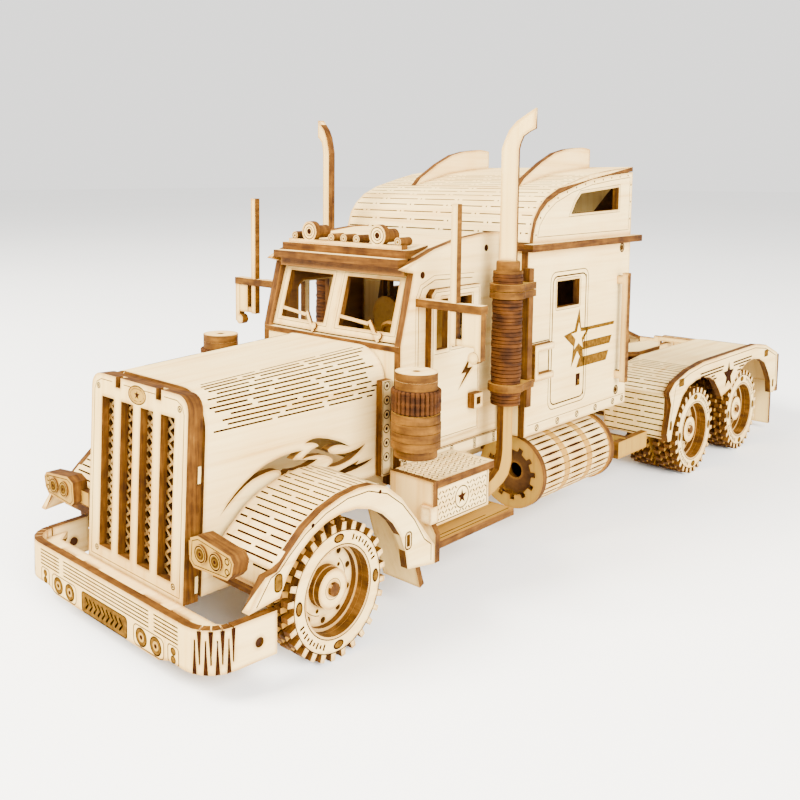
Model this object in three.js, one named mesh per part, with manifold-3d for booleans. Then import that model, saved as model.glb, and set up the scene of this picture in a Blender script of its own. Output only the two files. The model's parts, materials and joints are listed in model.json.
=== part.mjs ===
// Laser-cut plywood kit model of a long-nose road tractor: millimetres, +Z up, front towards -Y.
import * as THREE from "three";
import Module from "manifold-3d";
import { mergeVertices } from "three/addons/utils/BufferGeometryUtils.js";

// ---- driving dimensions ---------------------------------------------------------------------
const PLY = 2;                 // sheet thickness
const FRONT = -154;            // front face of the bumper
const REAR = 154;              // rear end of the frame
const FENDER_X = 40;           // outer face of the fenders: 80 mm over all four
const STACK_TOP = 120;         // tip of the exhaust stacks
const WHEEL_R = 15;
const WHEEL_OUT = 39.4;        // outer face of every tyre
const TYRE_W = 8;
const RIM_R = 9.6;             // opening inside the tyre
const DUAL_GAP = 2;            // between the two tyres of a rear pair
const AXLES = [-121, 58, 99.5];
const ROD_R = 1.5;
const BORE_R = 1.8;            // axle bore in the rails
const RAIL_X = 12;             // outer face of the frame rails
const RAIL_TOP = 28;
const RUNGS = [-139, -62, -12, 30, 77.7, 124];   // front faces of the cross-members
const HOOD_X = 20;             // half width of the hood
const HOOD = { front: -140.1, rear: -84.3, top: 58.6, bend: 8.5 };
const CAB_X = 25;              // half width of the cab
const CAB = { front: -84, rear: -42, floor: 28.8 };
const DOOR_Y = [-74.4, -53.3];
const SLEEP_X = 33.5;          // half width of the sleeper
const SLEEP = { front: -41, rear: 17.5, floor: 31, ledge: 84.4 };
const TANK = { x: 28, z: 19.6, r: 10, front: -38.5, rear: 2 };
const MUFF = { x: 32.9, y: -49.6, r: 4, bottom: 42, top: 77 };
const GRILLE = { x: 18.5, bottom: 12.9, top: 57.2, y: -144.2, lean: -2.8 };
const GAP = 0.2;

// ---- small solid helpers --------------------------------------------------------------------
const wasm = await Module();
wasm.setup();

function solid(geometry) {
  const g = geometry.clone();
  g.deleteAttribute("normal");
  g.deleteAttribute("uv");
  const m = mergeVertices(g, 1e-4);
  const index = m.index.array;
  return new wasm.Manifold(new wasm.Mesh({
    numProp: 3,
    vertProperties: new Float32Array(m.attributes.position.array),
    triVerts: new Uint32Array(index),
  }));
}

function block(x0, x1, y0, y1, z0, z1) {
  const g = new THREE.BoxGeometry(x1 - x0, y1 - y0, z1 - z0);
  g.translate((x0 + x1) / 2, (y0 + y1) / 2, (z0 + z1) / 2);
  return solid(g);
}

// a flat sheet: outline [[u, v], ...] extruded along "x" (u=y, v=z), "y" (u=x, v=z) or "z" (u=x, v=y)
function sheet(outline, axis, from, to, holes = []) {
  const shape = new THREE.Shape(outline.map(([u, v]) => new THREE.Vector2(u, v)));
  const g = new THREE.ExtrudeGeometry(shape, { depth: to - from, bevelEnabled: false });
  if (axis === "x") {
    g.applyMatrix4(new THREE.Matrix4().set(0, 0, 1, from, 1, 0, 0, 0, 0, 1, 0, 0, 0, 0, 0, 1));
  } else if (axis === "y") {
    g.applyMatrix4(new THREE.Matrix4().set(1, 0, 0, 0, 0, 0, -1, to, 0, 1, 0, 0, 0, 0, 0, 1));
  } else {
    g.translate(0, 0, from);
  }
  const cut = (plate, hole) => plate.subtract(sheet(hole, axis, from - 0.5, to + 0.5));
  return holes.reduce(cut, solid(g));
}

// a drum along an axis; c gives the two other coordinates
function drum(axis, r, from, to, c, seg = 24) {
  const g = new THREE.CylinderGeometry(r, r, to - from, seg);
  if (axis === "z") g.rotateX(Math.PI / 2).translate(c[0], c[1], (from + to) / 2);
  if (axis === "y") g.translate(c[0], (from + to) / 2, c[1]);
  if (axis === "x") g.rotateZ(-Math.PI / 2).translate((from + to) / 2, c[0], c[1]);
  return solid(g);
}

const rect = (u0, u1, v0, v1) => [[u0, v0], [u1, v0], [u1, v1], [u0, v1]];

function ring(u, v, r, seg = 16) {
  return Array.from({ length: seg }, (_, i) => {
    const a = (2 * Math.PI * i) / seg;
    return [u + r * Math.cos(a), v + r * Math.sin(a)];
  });
}

const join = (...parts) => parts.flat().reduce((a, b) => a.add(b));
const flip = (m) => m.mirror([1, 0, 0]);
const both = (m) => m.add(flip(m));

function arc(u, v, r, a0, a1, n) {
  return Array.from({ length: n + 1 }, (_, i) => {
    const a = ((a0 + ((a1 - a0) * i) / n) * Math.PI) / 180;
    return [u + r * Math.cos(a), v + r * Math.sin(a)];
  });
}

// a smooth path through a few points, split in n pieces
function smooth(points, n) {
  const curve = new THREE.SplineCurve(points.map(([u, v]) => new THREE.Vector2(u, v)));
  return curve.getPoints(n).map((p) => [p.x, p.y]);
}

// outline offset of an open path to one side, giving a band of even thickness
function band(path, t) {
  const inner = path.map((p, i) => {
    const a = path[Math.max(0, i - 1)];
    const b = path[Math.min(path.length - 1, i + 1)];
    const l = Math.hypot(b[0] - a[0], b[1] - a[1]);
    return [p[0] - ((b[1] - a[1]) / l) * t, p[1] + ((b[0] - a[0]) / l) * t];
  });
  return [...path, ...inner.reverse()];
}

// ---- the tree -------------------------------------------------------------------------------
const group = new THREE.Group();
group.name = "wooden_tractor";
const WOOD = { pale: 0xf0dcb4, brown: 0xb9803f };

function node(name, m, tone = "pale", parent = group) {
  const mesh = m.getMesh();
  const g = new THREE.BufferGeometry();
  g.setAttribute("position", new THREE.BufferAttribute(Float32Array.from(mesh.vertProperties), 3));
  g.setIndex(new THREE.BufferAttribute(Uint32Array.from(mesh.triVerts), 1));
  g.computeVertexNormals();
  const wood = new THREE.MeshStandardMaterial({ name: tone, color: WOOD[tone], roughness: 0.7 });
  const out = new THREE.Mesh(g, wood);
  out.name = name;
  parent.add(out);
  return out;
}

function nodePair(name, left, tone = "pale", parent = group) {
  node(`${name}_left`, left, tone, parent);
  node(`${name}_right`, flip(left), tone, parent);
}

// ---- frame, axles and wheels ----------------------------------------------------------------
function chassisFrame() {
  const under = [[-140, 20]];
  for (const y of AXLES) under.push([y - 7, 20], [y - 4.5, 10.5], [y + 4.5, 10.5], [y + 7, 20]);
  const outline = [...under, [REAR - PLY, 20], [REAR - PLY, RAIL_TOP], [-140, RAIL_TOP]];
  const bores = AXLES.map((y) => ring(y, WHEEL_R, BORE_R));
  const rail = sheet(outline, "x", RAIL_X - PLY, RAIL_X, bores);
  const rungs = RUNGS.map((y) => block(-RAIL_X + 1, RAIL_X - 1, y, y + PLY, 20.6, 27.4));
  const end = sheet(rect(-15, 15, 17, 30), "y", REAR - PLY - 0.2, REAR, [ring(0, 23.5, 2, 12)]);
  return join(both(rail), rungs, end);
}

// a tread outline: each tooth has a flat land, and one land points straight down
function toothed(r, depth, n) {
  const step = (2 * Math.PI) / (n * 4);
  const land = r / Math.cos(step / 2);
  return Array.from({ length: n * 4 }, (_, i) => {
    const a = (i - 0.5) * step;
    const reach = i % 4 < 2 ? land : land - depth;
    return [reach * Math.cos(a), reach * Math.sin(a)];
  });
}

function wheel(y, from, teeth, dual) {
  const at = (pts) => pts.map(([u, v]) => [u + y, v + WHEEL_R]);
  const to = from + TYRE_W;
  const rim = at(ring(0, 0, RIM_R, 20));
  const centre = [y, WHEEL_R];
  const tyre = sheet(at(toothed(WHEEL_R, 1.2, teeth)), "x", from, to, [rim]);
  const disc = drum("x", RIM_R + 0.2, from + 1, from + 3.4, centre, 20);
  const hub = drum("x", 4.4, from + 2, to - 1.6, centre, 16);
  const parts = [tyre, disc, hub];
  if (dual) {
    const inner = from - TYRE_W - DUAL_GAP;
    parts.push(sheet(at(ring(0, 0, WHEEL_R - 0.1, 28)), "x", inner, inner + TYRE_W, [rim]));
    parts.push(drum("x", RIM_R + 0.2, from - 5, from + 2, centre, 20));
  }
  return join(parts).subtract(drum("x", ROD_R + 0.1, from - 20, to + 1, centre, 12));
}

function axles() {
  const names = ["front", "mid", "rear"];
  AXLES.forEach((y, i) => {
    node(`axle_${names[i]}`, drum("x", ROD_R, -WHEEL_OUT + 1, WHEEL_OUT - 1, [y, WHEEL_R], 12), "brown");
    nodePair(`wheel_${names[i]}`, wheel(y, WHEEL_OUT - TYRE_W, 28, i > 0));
  });
}

// ---- bumper ---------------------------------------------------------------------------------
const CORNER = { x: 28.8, y: -146.6, r: 7.4 };   // centre and radius of the bumper's round ends

// a saw cut through the bumper's round end, so many degrees round from its side
function slit(turn, z0, z1) {
  const [[x, y]] = arc(CORNER.x, CORNER.y, CORNER.r - PLY / 2, -turn, -turn, 1);
  const g = new THREE.BoxGeometry(8, 0.35, z1 - z0);
  g.rotateZ((-turn * Math.PI) / 180);
  return solid(g.translate(x, y, (z0 + z1) / 2));
}

function bumperSkin() {
  const corner = [[36.9, -136.5], ...arc(CORNER.x, CORNER.y, CORNER.r, 0, -90, 5)];
  const path = [...corner, ...corner.map(([x, y]) => [-x, y]).reverse()];
  let skin = sheet(band(path, -PLY), "z", 4.8, 15.3);
  const step = sheet([[20.3, 4], [20.3, 4.8], [24, 6.1], [40, 6.1], [40, 4]], "y", -160, -130);
  skin = skin.subtract(both(step));
  const slits = [6, 24, 42, 60].flatMap((turn) => [slit(turn, 8.2, 16), slit(turn + 8, 5, 13.2)]);
  const peg = drum("x", 1.1, 30, 40, [-141, 10], 12);
  return skin.subtract(both(join(slits))).subtract(both(peg));
}

function bumperStep() {
  const slots = [-22, -12, 12, 22].map((x) => rect(x - 3, x + 3, -150.6, -149.4));
  const half = [[34, -143], ...arc(CORNER.x, CORNER.y, CORNER.r - PLY - 0.3, 0, -90, 4)];
  const outline = [...half, ...half.map(([x, y]) => [-x, y]).reverse(), [-30, -146.8], [30, -146.8]];
  const board = sheet(outline, "z", 11.6, 13.4, slots);
  const hook = [[-149, 10.4], [-138, 10.4], [-138, 20], [-141.2, 20], [-141.2, 12.5], [-149, 12.5]];
  const arm = sheet(hook, "x", RAIL_X - PLY, RAIL_X);
  return board.add(both(arm));
}

// ---- grille: three cut sheets leaning forward at the foot -----------------------------------
function lean(m) {
  const { y, top } = GRILLE;
  return m.translate([0, -y, -top]).rotate([GRILLE.lean, 0, 0]).translate([0, y, top]);
}

function grilleOutline() {
  const { x, bottom, top } = GRILLE;
  const r = 3.4;
  const corners = [...arc(x - r, top - r, r, 0, 90, 5), ...arc(r - x, top - r, r, 90, 180, 5)];
  return [[-x, bottom], [x, bottom], ...corners];
}

function grille() {
  const y = GRILLE.y;
  const slots = [[-14, -9], [-6.2, -1.4], [1.4, 6.2], [9, 14]].map(([a, b]) => rect(a, b, 16.7, 52));
  const notches = [[-8.6, -6.6], [7, 9]].map(([a, b]) => rect(a, b, GRILLE.top - 2.4, GRILLE.top + 1));
  node("grille_front", lean(sheet(grilleOutline(), "y", y, y + PLY, [...slots, ...notches])));
  const frame = sheet(grilleOutline(), "y", y + PLY, y + 2 * PLY, [rect(-15.6, 15.6, 15, 54)]);
  node("grille_surround", lean(frame), "brown");
  const mesh = sheet(rect(-15.4, 15.4, 15.2, 53.8), "y", y + PLY + 0.3, y + PLY + 1.1, diamonds());
  node("grille_lattice", lean(mesh), "brown");
}

// rows of diamond holes, every second row shifted by half a diamond
function diamonds() {
  const pitch = 5.9;
  const holes = [];
  for (let row = 0; row < 11; row++) {
    const count = row % 2 ? 4 : 5;
    const v = 18.6 + row * 3.2;
    for (let k = 0; k < count; k++) {
      const u = (k - (count - 1) / 2) * pitch;
      holes.push([[u - 2.5, v], [u, v - 2.7], [u + 2.5, v], [u, v + 2.7]]);
    }
  }
  return holes;
}

// ---- hood -----------------------------------------------------------------------------------
// a flame: start point, then [control y, z, end y, z] curves, as offsets from the point given
function flame(y, z, curves) {
  const path = new THREE.Shape().moveTo(y, z);
  for (const [a, b, c, d] of curves) path.quadraticCurveTo(y + a, z + b, y + c, z + d);
  return path.getPoints(5).slice(0, -1).map((p) => [p.x, p.y]);
}

const FLAMES = [
  flame(-137, 30.1, [
    [4.6, 5.7, 12.8, 8.5], [19, 10.1, 24.6, 9.5], [22.8, 9.1, 21.2, 8], [25, 7.1, 29.3, 6.4],
    [24.5, 4.7, 20, 5.7], [18.4, 4.9, 17.3, 4.2], [18.4, 5.7, 16.9, 6.5], [14.8, 7.3, 9.4, 6.1],
    [5.2, 4.7, 0, 0]]),
  flame(-111.9, 41.1, [
    [2.5, 1.1, 5.5, 0.2], [10.5, -0.9, 15.3, -3.9], [10, -1.6, 7.5, -3], [7.7, -4.4, 11.5, -4.9],
    [15.7, -5.7, 20.5, -4.2], [18.3, -6, 15.1, -7.1], [10.5, -8.2, 7.2, -7.1], [9.4, -6.7, 9.1, -5.6],
    [6.2, -2.9, -1.1, -3.6], [1.5, -1.8, 4.5, -1.5], [3.5, -0.1, 0, 0]]),
  flame(-108.1, 33.2, [
    [4.1, -1.4, 8, -1.1], [11, -0.6, 14.6, 0], [14, -0.5, 13.4, -0.9], [16.4, -0.8, 19.6, -0.5],
    [17, -1.7, 12, -2.1], [5.2, -2.7, 0, 0]]),
];

function hoodShell() {
  const { front, rear, top: z, bend: r } = HOOD;
  const w = HOOD_X;
  const outer = [[w, 14], ...arc(w - r, z - r, r, 0, 90, 8), ...arc(r - w, z - r, r, 90, 180, 8), [-w, 14]];
  const shape = new THREE.Shape(band(outer, PLY).map(([u, v]) => new THREE.Vector2(u, v)));
  const g = new THREE.ExtrudeGeometry(shape, { depth: rear - front, bevelEnabled: false, steps: 1 });
  g.applyMatrix4(new THREE.Matrix4().set(1, 0, 0, 0, 0, 0, -1, rear, 0, 1, 0, 0, 0, 0, 0, 1));
  const lean = Math.tan((-GRILLE.lean * Math.PI) / 180);
  const p = g.attributes.position;
  for (let i = 0; i < p.count; i++) {
    const back = (p.getY(i) - front) / (rear - front);      // 0 at the grille, 1 at the cab
    p.setX(i, p.getX(i) * (0.965 + 0.05 * back));
    if (p.getZ(i) > 30) p.setZ(i, p.getZ(i) - 1 + 2.2 * back);
    p.setY(i, p.getY(i) + (1 - back) * (p.getZ(i) - GRILLE.top) * lean);
  }
  const notch = block(-30, 30, -100, -80, 10, RAIL_TOP);
  const bore = both(sheet(ring(AXLES[0], WHEEL_R, 4.2), "x", 15, 25));
  const flames = FLAMES.map((f) => both(sheet(f, "x", 15, 25)));
  return solid(g).subtract(notch).subtract(bore).subtract(join(flames));
}

function hoodTrim() {
  return block(20.75, 22.6, -87.9, -84.4, 28.2, 52.4);
}

function headlight() {
  const top = [[23, 29.6], [25.4, 30.6], [35.6, 29.4], [36.6, 28.2]];
  const face = [[22.6, 24.9], ...top, [36, 25.6], [34.6, 24.2], [24, 23.6]];
  const pod = sheet(face, "y", -147.6, -143.6);
  const lamps = [[26.7, 27.3], [31.4, 27.1]].map((c) => drum("y", 1.9, -148.1, -147, c, 16));
  const across = block(19.55, 24, -145.4, -143.6, 24.2, 27.4);
  const along = block(19.55, 21.4, -145.4, -139, 24.2, 27.4);
  return join(pod, lamps, across, along);
}

// ---- fenders --------------------------------------------------------------------------------
function frontFender() {
  const top = smooth([[-139.4, 25.2], [-129.2, 33.3], [-115.5, 36.5], [-104, 33.1], [-91.6, 19.4]], 10);
  const arch = arc(AXLES[0] + 1.5, 11.5, 20.8, 5, 157, 12);
  const outline = [[-146.8, 18.8], [-142.4, 24.9], ...top, [-88.8, 16.2], [-88.8, 11.6], ...arch];
  const face = sheet(outline, "x", FENDER_X - PLY, FENDER_X, [rect(-99.2, -98, 18.6, 21.4)]);
  const cover = sheet(band([[-139.7, 20.4], ...top.slice(0, -1)], -1.6), "x", 21.4, FENDER_X - 1);
  const brace = block(21.4, FENDER_X - 1, -140.6, -137, 18.6, 20.6);
  const flap = sheet([[-97.4, 25], [-95.8, 25], [-89.3, 6], [-90.8, 5.4]], "x", 26, 37.4);
  return join(face, cover, brace, flap);
}

function star(u, v, r) {
  return Array.from({ length: 10 }, (_, i) => {
    const a = Math.PI / 2 + (Math.PI * i) / 5;
    const reach = i % 2 ? r * 0.38 : r;
    return [u + reach * Math.cos(a), v + reach * Math.sin(a)];
  });
}

function rearFender() {
  const top = [[35.4, 31.8], [39.6, 34.8], [50, 37.4], [62, 38.6], [110, 38.6], [121, 37], [134, 32.2]];
  const back = [[134.6, 19.6], [131.4, 16.4], [128.4, 16.8]];
  const foot = [[38.2, 15.4], [35.9, 15.4], [34.9, 18], [37.4, 27.6]];
  const rearArch = smooth([[127.4, 22], [119, 30.8], [105, 33.1], [94, 29.6], [88.4, 25.6]], 9);
  const midArch = smooth([[78.8, 23.4], [71, 31], [59, 33.2], [46.8, 30], [39.4, 19.8]], 9);
  const outline = [...top, ...back, ...rearArch, ...midArch, ...foot];
  const face = sheet(outline, "x", FENDER_X - PLY, FENDER_X, [star(84.6, 30.4, 3.7)]);
  const under = top.slice(0, 6).map(([y, z]) => [y + (y < 40 ? 0.9 : 0), z - 0.9]);
  const wrap = [[36.4, 15.8], [36.4, 29.8], ...under, [133.4, 31.8], [134.4, 20.5]];
  const cover = sheet(band(wrap, -1.6), "x", 17, FENDER_X - 1);
  const hanger = [block(RAIL_X + 0.02, 20, 76.6, 82.6, 28, 31), block(16.6, 20, 76.6, 82.6, 28, 36.6)];
  const flap = block(21, FENDER_X - 2.6, 135.2, 136.8, 2.4, 21.5);
  const clip = block(21, FENDER_X - 2.6, 133.2, 136, 20.8, 23.4);
  return join(face, cover, hanger, flap, clip);
}

// ---- cab ------------------------------------------------------------------------------------
const PASSAGE = rect(-15, 15, 34, 78);          // way through from the cab to the sleeper
const CAB_ROOF = [[CAB.rear, 87.4], [-49, 87.4], [-60, 86.4], [-71, 84.2], [-78, 81.9], [-83, 79.6]];

function cabShell() {
  const { front, rear, floor } = CAB;
  const opening = [[-72.2, 38], [-55.2, 38], [-55.2, 72.4], [-70.4, 72.4], [-72.2, 70.6]];
  const outline = [[front, floor], [rear, floor], ...CAB_ROOF, [-79.3, 78.6], [front, 60.8]];
  const side = sheet(outline, "x", CAB_X - PLY, CAB_X, [opening]);
  const ridge = block(CAB_X - 0.5, CAB_X + 0.5, front, rear, floor, floor + 3.2);
  const wall = sheet(rect(-CAB_X + 1, CAB_X - 1, floor, 59.6), "y", front, front + PLY, [ring(0, 44, 3, 12)]);
  const back = sheet(rect(-CAB_X + 1, CAB_X - 1, floor, 86), "y", rear - PLY, rear, [PASSAGE]);
  const base = block(-CAB_X + 1, CAB_X - 1, front + 1, rear - 1, floor, floor + PLY);
  const cowl = block(-CAB_X + 0.4, CAB_X - 0.4, front - 0.2, front + 3.6, 59.2, 60.6);
  return join(both(side), both(ridge), wall, back, base, cowl);
}

function cabInterior() {
  const seat = block(-18, 18, -58, -47, 30.8, 41).add(block(-18, 18, -49.5, -46.5, 40, 58));
  const rests = [both(drum("y", 5, -49.3, -46.7, [9.5, 62], 20)), both(block(5, 14, -49.3, -46.7, 56, 61))];
  const dash = [block(-22.6, 22.6, -81.9, -77.5, 30.8, 57), block(-22.6, 22.6, -81.9, -73.5, 51, 57)];
  const floor = block(-10, 10, -80, -50, 30.8, 32.2);
  const tilt = 0.62;             // of the steering column, in radians
  const centre = [10, -67.2, 59.7];
  const post = new THREE.CylinderGeometry(1, 1, 9, 12).rotateX(tilt).translate(10, -70.6, 57.3);
  const rim = new THREE.TorusGeometry(4.6, 0.7, 6, 14).rotateX(tilt - Math.PI / 2).translate(...centre);
  const web = new THREE.CylinderGeometry(4.6, 4.6, 0.8, 14).rotateX(tilt).translate(...centre);
  return join(seat, rests, dash, floor, solid(post), solid(rim), solid(web));
}

function wiper() {
  const blade = new THREE.BoxGeometry(10, 0.8, 0.9).rotateY(0.1).translate(8.2, -0.3, 4.4);
  const arm = new THREE.BoxGeometry(6.4, 0.8, 0.9).rotateY(0.9).translate(15.2, -0.3, 2.2);
  return join(solid(blade), solid(arm), drum("y", 0.9, -0.7, 0.4, [17, 1.2], 12));
}

// two panes in a shallow V, leaning back, with a post between them
function windscreen() {
  const pane = sheet(rect(0, 22.8, 0, 18), "y", 0, 1.6, [rect(2.8, 20, 2.4, 15.8)]);
  const post = block(-0.7, 0.7, 0, 1.6, 0.1, 18.1);
  const lay = (m, turn) => m.rotate([-16.5, 0, 0]).rotate([0, 0, turn]).translate([0, -83.6, 61.1]);
  const left = lay(pane.add(wiper()), 2.5);
  const right = lay(flip(pane).add(wiper().translate([-22.6, 0, 0])), -2.5);
  return join(left, right, lay(post, 0));
}

function cabRoof() {
  const path = [[-76.6, 82.2], [-71, 84], [-60, 86.2], [-49, 87.2], [CAB.rear - 2.1, 87.2]];
  return sheet(band(path, -1.6), "x", -CAB_X + PLY + 0.05, CAB_X - PLY - 0.05);
}

function sunVisor() {
  const low = block(-22.6, 22.6, -82.6, -78.6, 80, 82);
  const high = block(-22.3, 22.3, -79.4, -76.8, 81.9, 84.1);
  const tail = [[-79.4, 82.4], [-76.8, 82.4], [-70.2, 84.5], [-70.2, 85], [-76, 84.1], [-79.4, 84.1]];
  return join(low, high, sheet(tail, "x", -22.3, 22.3));
}

function roofLightBar() {
  const board = block(-20.5, 20.5, -78.6, -76.2, 84.12, 85.2);
  const lamps = [-18.7, -4.6, 0, 4.6, 18.7].map((x) => drum("y", 1.15, -78, -73.4, [x, 86], 14));
  const mouths = [-12.4, 12.4].map((x) => drum("y", 2.8, -78.6, -76.6, [x, 87.4], 20));
  const horns = [-12.4, 12.4].map((x) => drum("y", 1.8, -76.8, -71.8, [x, 87.2], 16));
  return join(board, lamps, mouths, horns);
}

function cabDoor() {
  const [a, b] = DOOR_Y;
  const outline = [[a, 37], [a + 2.6, 34.8], [b, 34.8], [b, 74.2], [a + 1.4, 74.2], [a, 72.8]];
  const quarter = [[-72.2, 58.6], [-67.6, 58.6], [-67.6, 71.6], [-70.4, 71.6], [-72.2, 69.8]];
  const window = rect(-65.6, -57.2, 58.6, 71.6);
  const bolt = [[-57.4, 55.4], [-61.4, 51], [-59.3, 51], [-62.9, 46.6], [-56.4, 52.2], [-58.6, 52.2]];
  const panel = sheet(outline, "x", CAB_X + GAP, CAB_X + PLY, [quarter, window, bolt]);
  const grip = block(CAB_X + 1, CAB_X + 4.2, -58.4, -54.6, 41.4, 45.4);
  return panel.add(grip.subtract(block(CAB_X + 2, 40, -57.4, -55.6, 42.4, 44.4)));
}

function mirror() {
  const inside = [[44.5, -75.6], [39, -75.6], [38, -76.4], [34, -76.4], [33, -75.6], [CAB_X, -75.6]];
  const bar = sheet([[CAB_X, -78.4], [44.5, -78.4], ...inside], "z", 70.2, 72.2);
  const rod = block(35.4, 37.2, -78.2, -76.4, 61.8, 96);
  const plate = block(39, 44, -78.1, -76.3, 62, 70.6);
  const brace = block(42.6, 44.4, -78.2, -76.2, 59, 71);
  const knob = drum("y", 1.5, -78.4, -76.2, [42.4, 59.6], 16);
  const link = block(36.4, 40, -77.9, -76.5, 62, 63.6);
  return join(bar, rod, plate, brace, knob, link);
}

function airCleaner() {
  const c = [35.8, -91.2];
  const flutes = Array.from({ length: 36 }, (_, i) => {
    const a = (2 * Math.PI * i) / 36;
    const r = i % 2 ? 5.3 : 6;
    return [c[0] + r * Math.cos(a), c[1] + r * Math.sin(a)];
  });
  const foot = drum("z", 5.1, 37.4, 39.8, c);
  const drumBody = drum("z", 5.9, 39.6, 48.6, c);
  const cap = drum("z", 5, 53.4, 57.6, c);
  const bracket = [block(24.4, 34, -86.4, -84, 44, 46), block(24.4, 27, -86.4, -84, 40, 50)];
  return join(foot, drumBody, sheet(flutes, "z", 48.4, 53.6), cap, bracket);
}

// ---- steps, tanks and exhaust ---------------------------------------------------------------
function stepBox() {
  const [floor, under, top] = [19.4, 29.1, 31];
  const body = block(26, 38.2, -87.4, -64.4, floor, under + 0.1);
  const lid = block(26, 39.2, -88.6, -63.6, under, top);
  const edge = [[39.2, top], [39.2, 24.4], [37.6, 22.4], [40, 18.6], [40, 11.6]];
  const cheek = sheet([[26, top], ...edge, [30, 13.4], [26, floor]], "y", -88.6, -86.8);
  const tread = block(26, 39.6, -87.2, -54.6, 14.4, 16.2);
  const riser = block(26, 28, -87.2, -60, 16, floor + 0.4);
  const hanger = block(RAIL_X + 0.02, 27, -75, -73, 21, 27);
  return join(body, lid, cheek, tread, riser, hanger);
}

function fuelTank() {
  const { x, z, r, front, rear } = TANK;
  const ribs = Array.from({ length: 48 }, (_, i) => {
    const a = (2 * Math.PI * i) / 48;
    const reach = i % 2 ? r - 0.9 : r - 0.4;
    return [x + reach * Math.cos(a), z + reach * Math.sin(a)];
  });
  const skin = sheet(ribs, "y", front + 1, rear - 1);
  const rims = [front, rear - PLY].map((y) => drum("y", r + 0.4, y, y + PLY, [x, z], 28));
  const dishes = [front - 1, rear - 0.8].map((y) => drum("y", r - 2.6, y, y + 1.8, [x, z]));
  const straps = [-30, -8].map((y) => block(RAIL_X + 0.02, 20, y, y + PLY, 21, 26.5));
  return join(skin, rims, straps).subtract(join(dishes));
}

function guardBar() {
  const arm = block(RAIL_X + 0.02, 33.6, 19, 21, 14, 19);
  const root = block(RAIL_X + 0.02, 15, 19, 21, 14, 25);
  return join(arm, root, block(31.8, 33.8, 14, 33.6, 13, 18.4));
}

function muffler() {
  const { x, y, r, bottom, top } = MUFF;
  const stackUp = (top - bottom) / 5;
  const profile = [new THREE.Vector2(0, bottom)];
  for (let i = 0; i < 5; i++) {
    const z = bottom + i * stackUp;
    for (const [reach, from, to] of [[r, 0, stackUp - 0.6], [r - 0.35, stackUp - 0.6, stackUp]]) {
      profile.push(new THREE.Vector2(reach, z + from), new THREE.Vector2(reach, z + to));
    }
  }
  profile.push(new THREE.Vector2(0, top));
  const core = solid(new THREE.LatheGeometry(profile, 16).rotateX(Math.PI / 2).translate(x, y, 0));
  const cap = drum("z", 3.1, top - 0.2, 80.4, [x, y], 20);
  const back = SLEEP.front - 0.02;
  const clamps = [[45.6, 48], [70.6, 74.4]].map(([a, b]) => block(x - 2.6, x + 3.4, y, back, a, b));
  const spine = block(x + 0.4, x + 2.6, back - 2.4, back, 40, 78);
  return join(core, cap, clamps, spine);
}

function stack() {
  const front = smooth([[-2.2, 109.6], [0.4, 115.6], [6.4, STACK_TOP]], 5).reverse();
  const rear = smooth([[2.2, 109.4], [3.3, 112.9], [6.4, 114.8]], 4);
  const flat = sheet([[-2.2, 80.5], [2.2, 80.5], ...rear, ...front], "y", -1, 1);
  return flat.rotate([0, 0, 22]).translate([MUFF.x, MUFF.y, 0]);
}

function lowerPipe() {
  const outside = smooth([[2.2, 26], [-0.2, 21.7], [-8.2, 18.6]], 5);
  const inside = smooth([[-8.2, 22.4], [-3.6, 24.9], [-2.2, 30]], 4);
  const path = [[2.2, 41.9], ...outside, ...inside, [-2.2, 41.9]];
  const strut = block(RAIL_X + 0.02 - MUFF.x, 1, -7.4, -5.4, 19.4, 22.2);
  return sheet(path, "x", -1, 1).add(strut).translate([MUFF.x, MUFF.y, 0]);
}

// ---- sleeper --------------------------------------------------------------------------------
const ROOF_BEND = smooth([[-40.6, 84.7], [-38, 92.2], [-28.9, 98.4], [-7.7, 103.2]], 7);
const ROOF_LINE = [...ROOF_BEND, [2.8, 104.3], [SLEEP.rear, 105.4]];
const ROOF_PLY = 1.4;                           // the sleeper's bent roof sheet is thinner

function sleeperShell() {
  const { front, rear, floor, ledge } = SLEEP;
  const window = rect(-25.5, -13, 65.4, 73);
  const upper = [[-19, 91.8], [9, 92.4], [9, 99.2], [-13.8, 97.6], [-16.6, 95.2]];
  const eaves = band(ROOF_LINE, -ROOF_PLY - 0.2).slice(ROOF_LINE.length + 1, -1);
  const outline = [[front, floor], [rear, floor], [rear, 103.8], ...eaves, [-38.9, ledge], [front, ledge]];
  const pegs = [[12.2, 80.6], [11.2, 36]].map(([y, z]) => ring(y, z, 0.9, 10));
  const inner = SLEEP_X - 1;
  const side = sheet(outline, "x", SLEEP_X - PLY, SLEEP_X, [window, upper, ...pegs]);
  const wall = sheet(rect(-inner, inner, floor, ledge), "y", front, front + PLY, [PASSAGE]);
  const back = sheet(rect(-inner, inner, floor, 103.6), "y", rear - PLY, rear, [rect(-8, 8, 56, 74)]);
  const base = block(-inner, inner, front + 1, rear - 1, floor, floor + PLY);
  const bunk = block(-inner, inner, -12, rear - 1, 46, 46 + PLY);
  const strip = block(SLEEP_X - 0.5, 36.4, front - 2.4, rear + 2, ledge - PLY, ledge);
  const ends = [block(30, SLEEP_X, front - 3, front, 80, 86), block(30, SLEEP_X, rear, rear + 3, 80, 86)];
  const brow = block(-SLEEP_X, SLEEP_X, front - 0.9, front + 1, ledge - PLY, ledge);
  return join(both(side), wall, back, base, bunk, both(strip.subtract(join(ends))), brow, bridge());
}

// the collar that closes the gap between cab and sleeper
function bridge() {
  return sheet(rect(-20, 20, 31, 84), "y", CAB.rear + 0.05, SLEEP.front + 0.5, [rect(-18, 18, 33, 80)]);
}

function sleeperRoof() {
  return sheet(band(ROOF_LINE, -ROOF_PLY), "x", -SLEEP_X, SLEEP_X);
}

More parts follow.
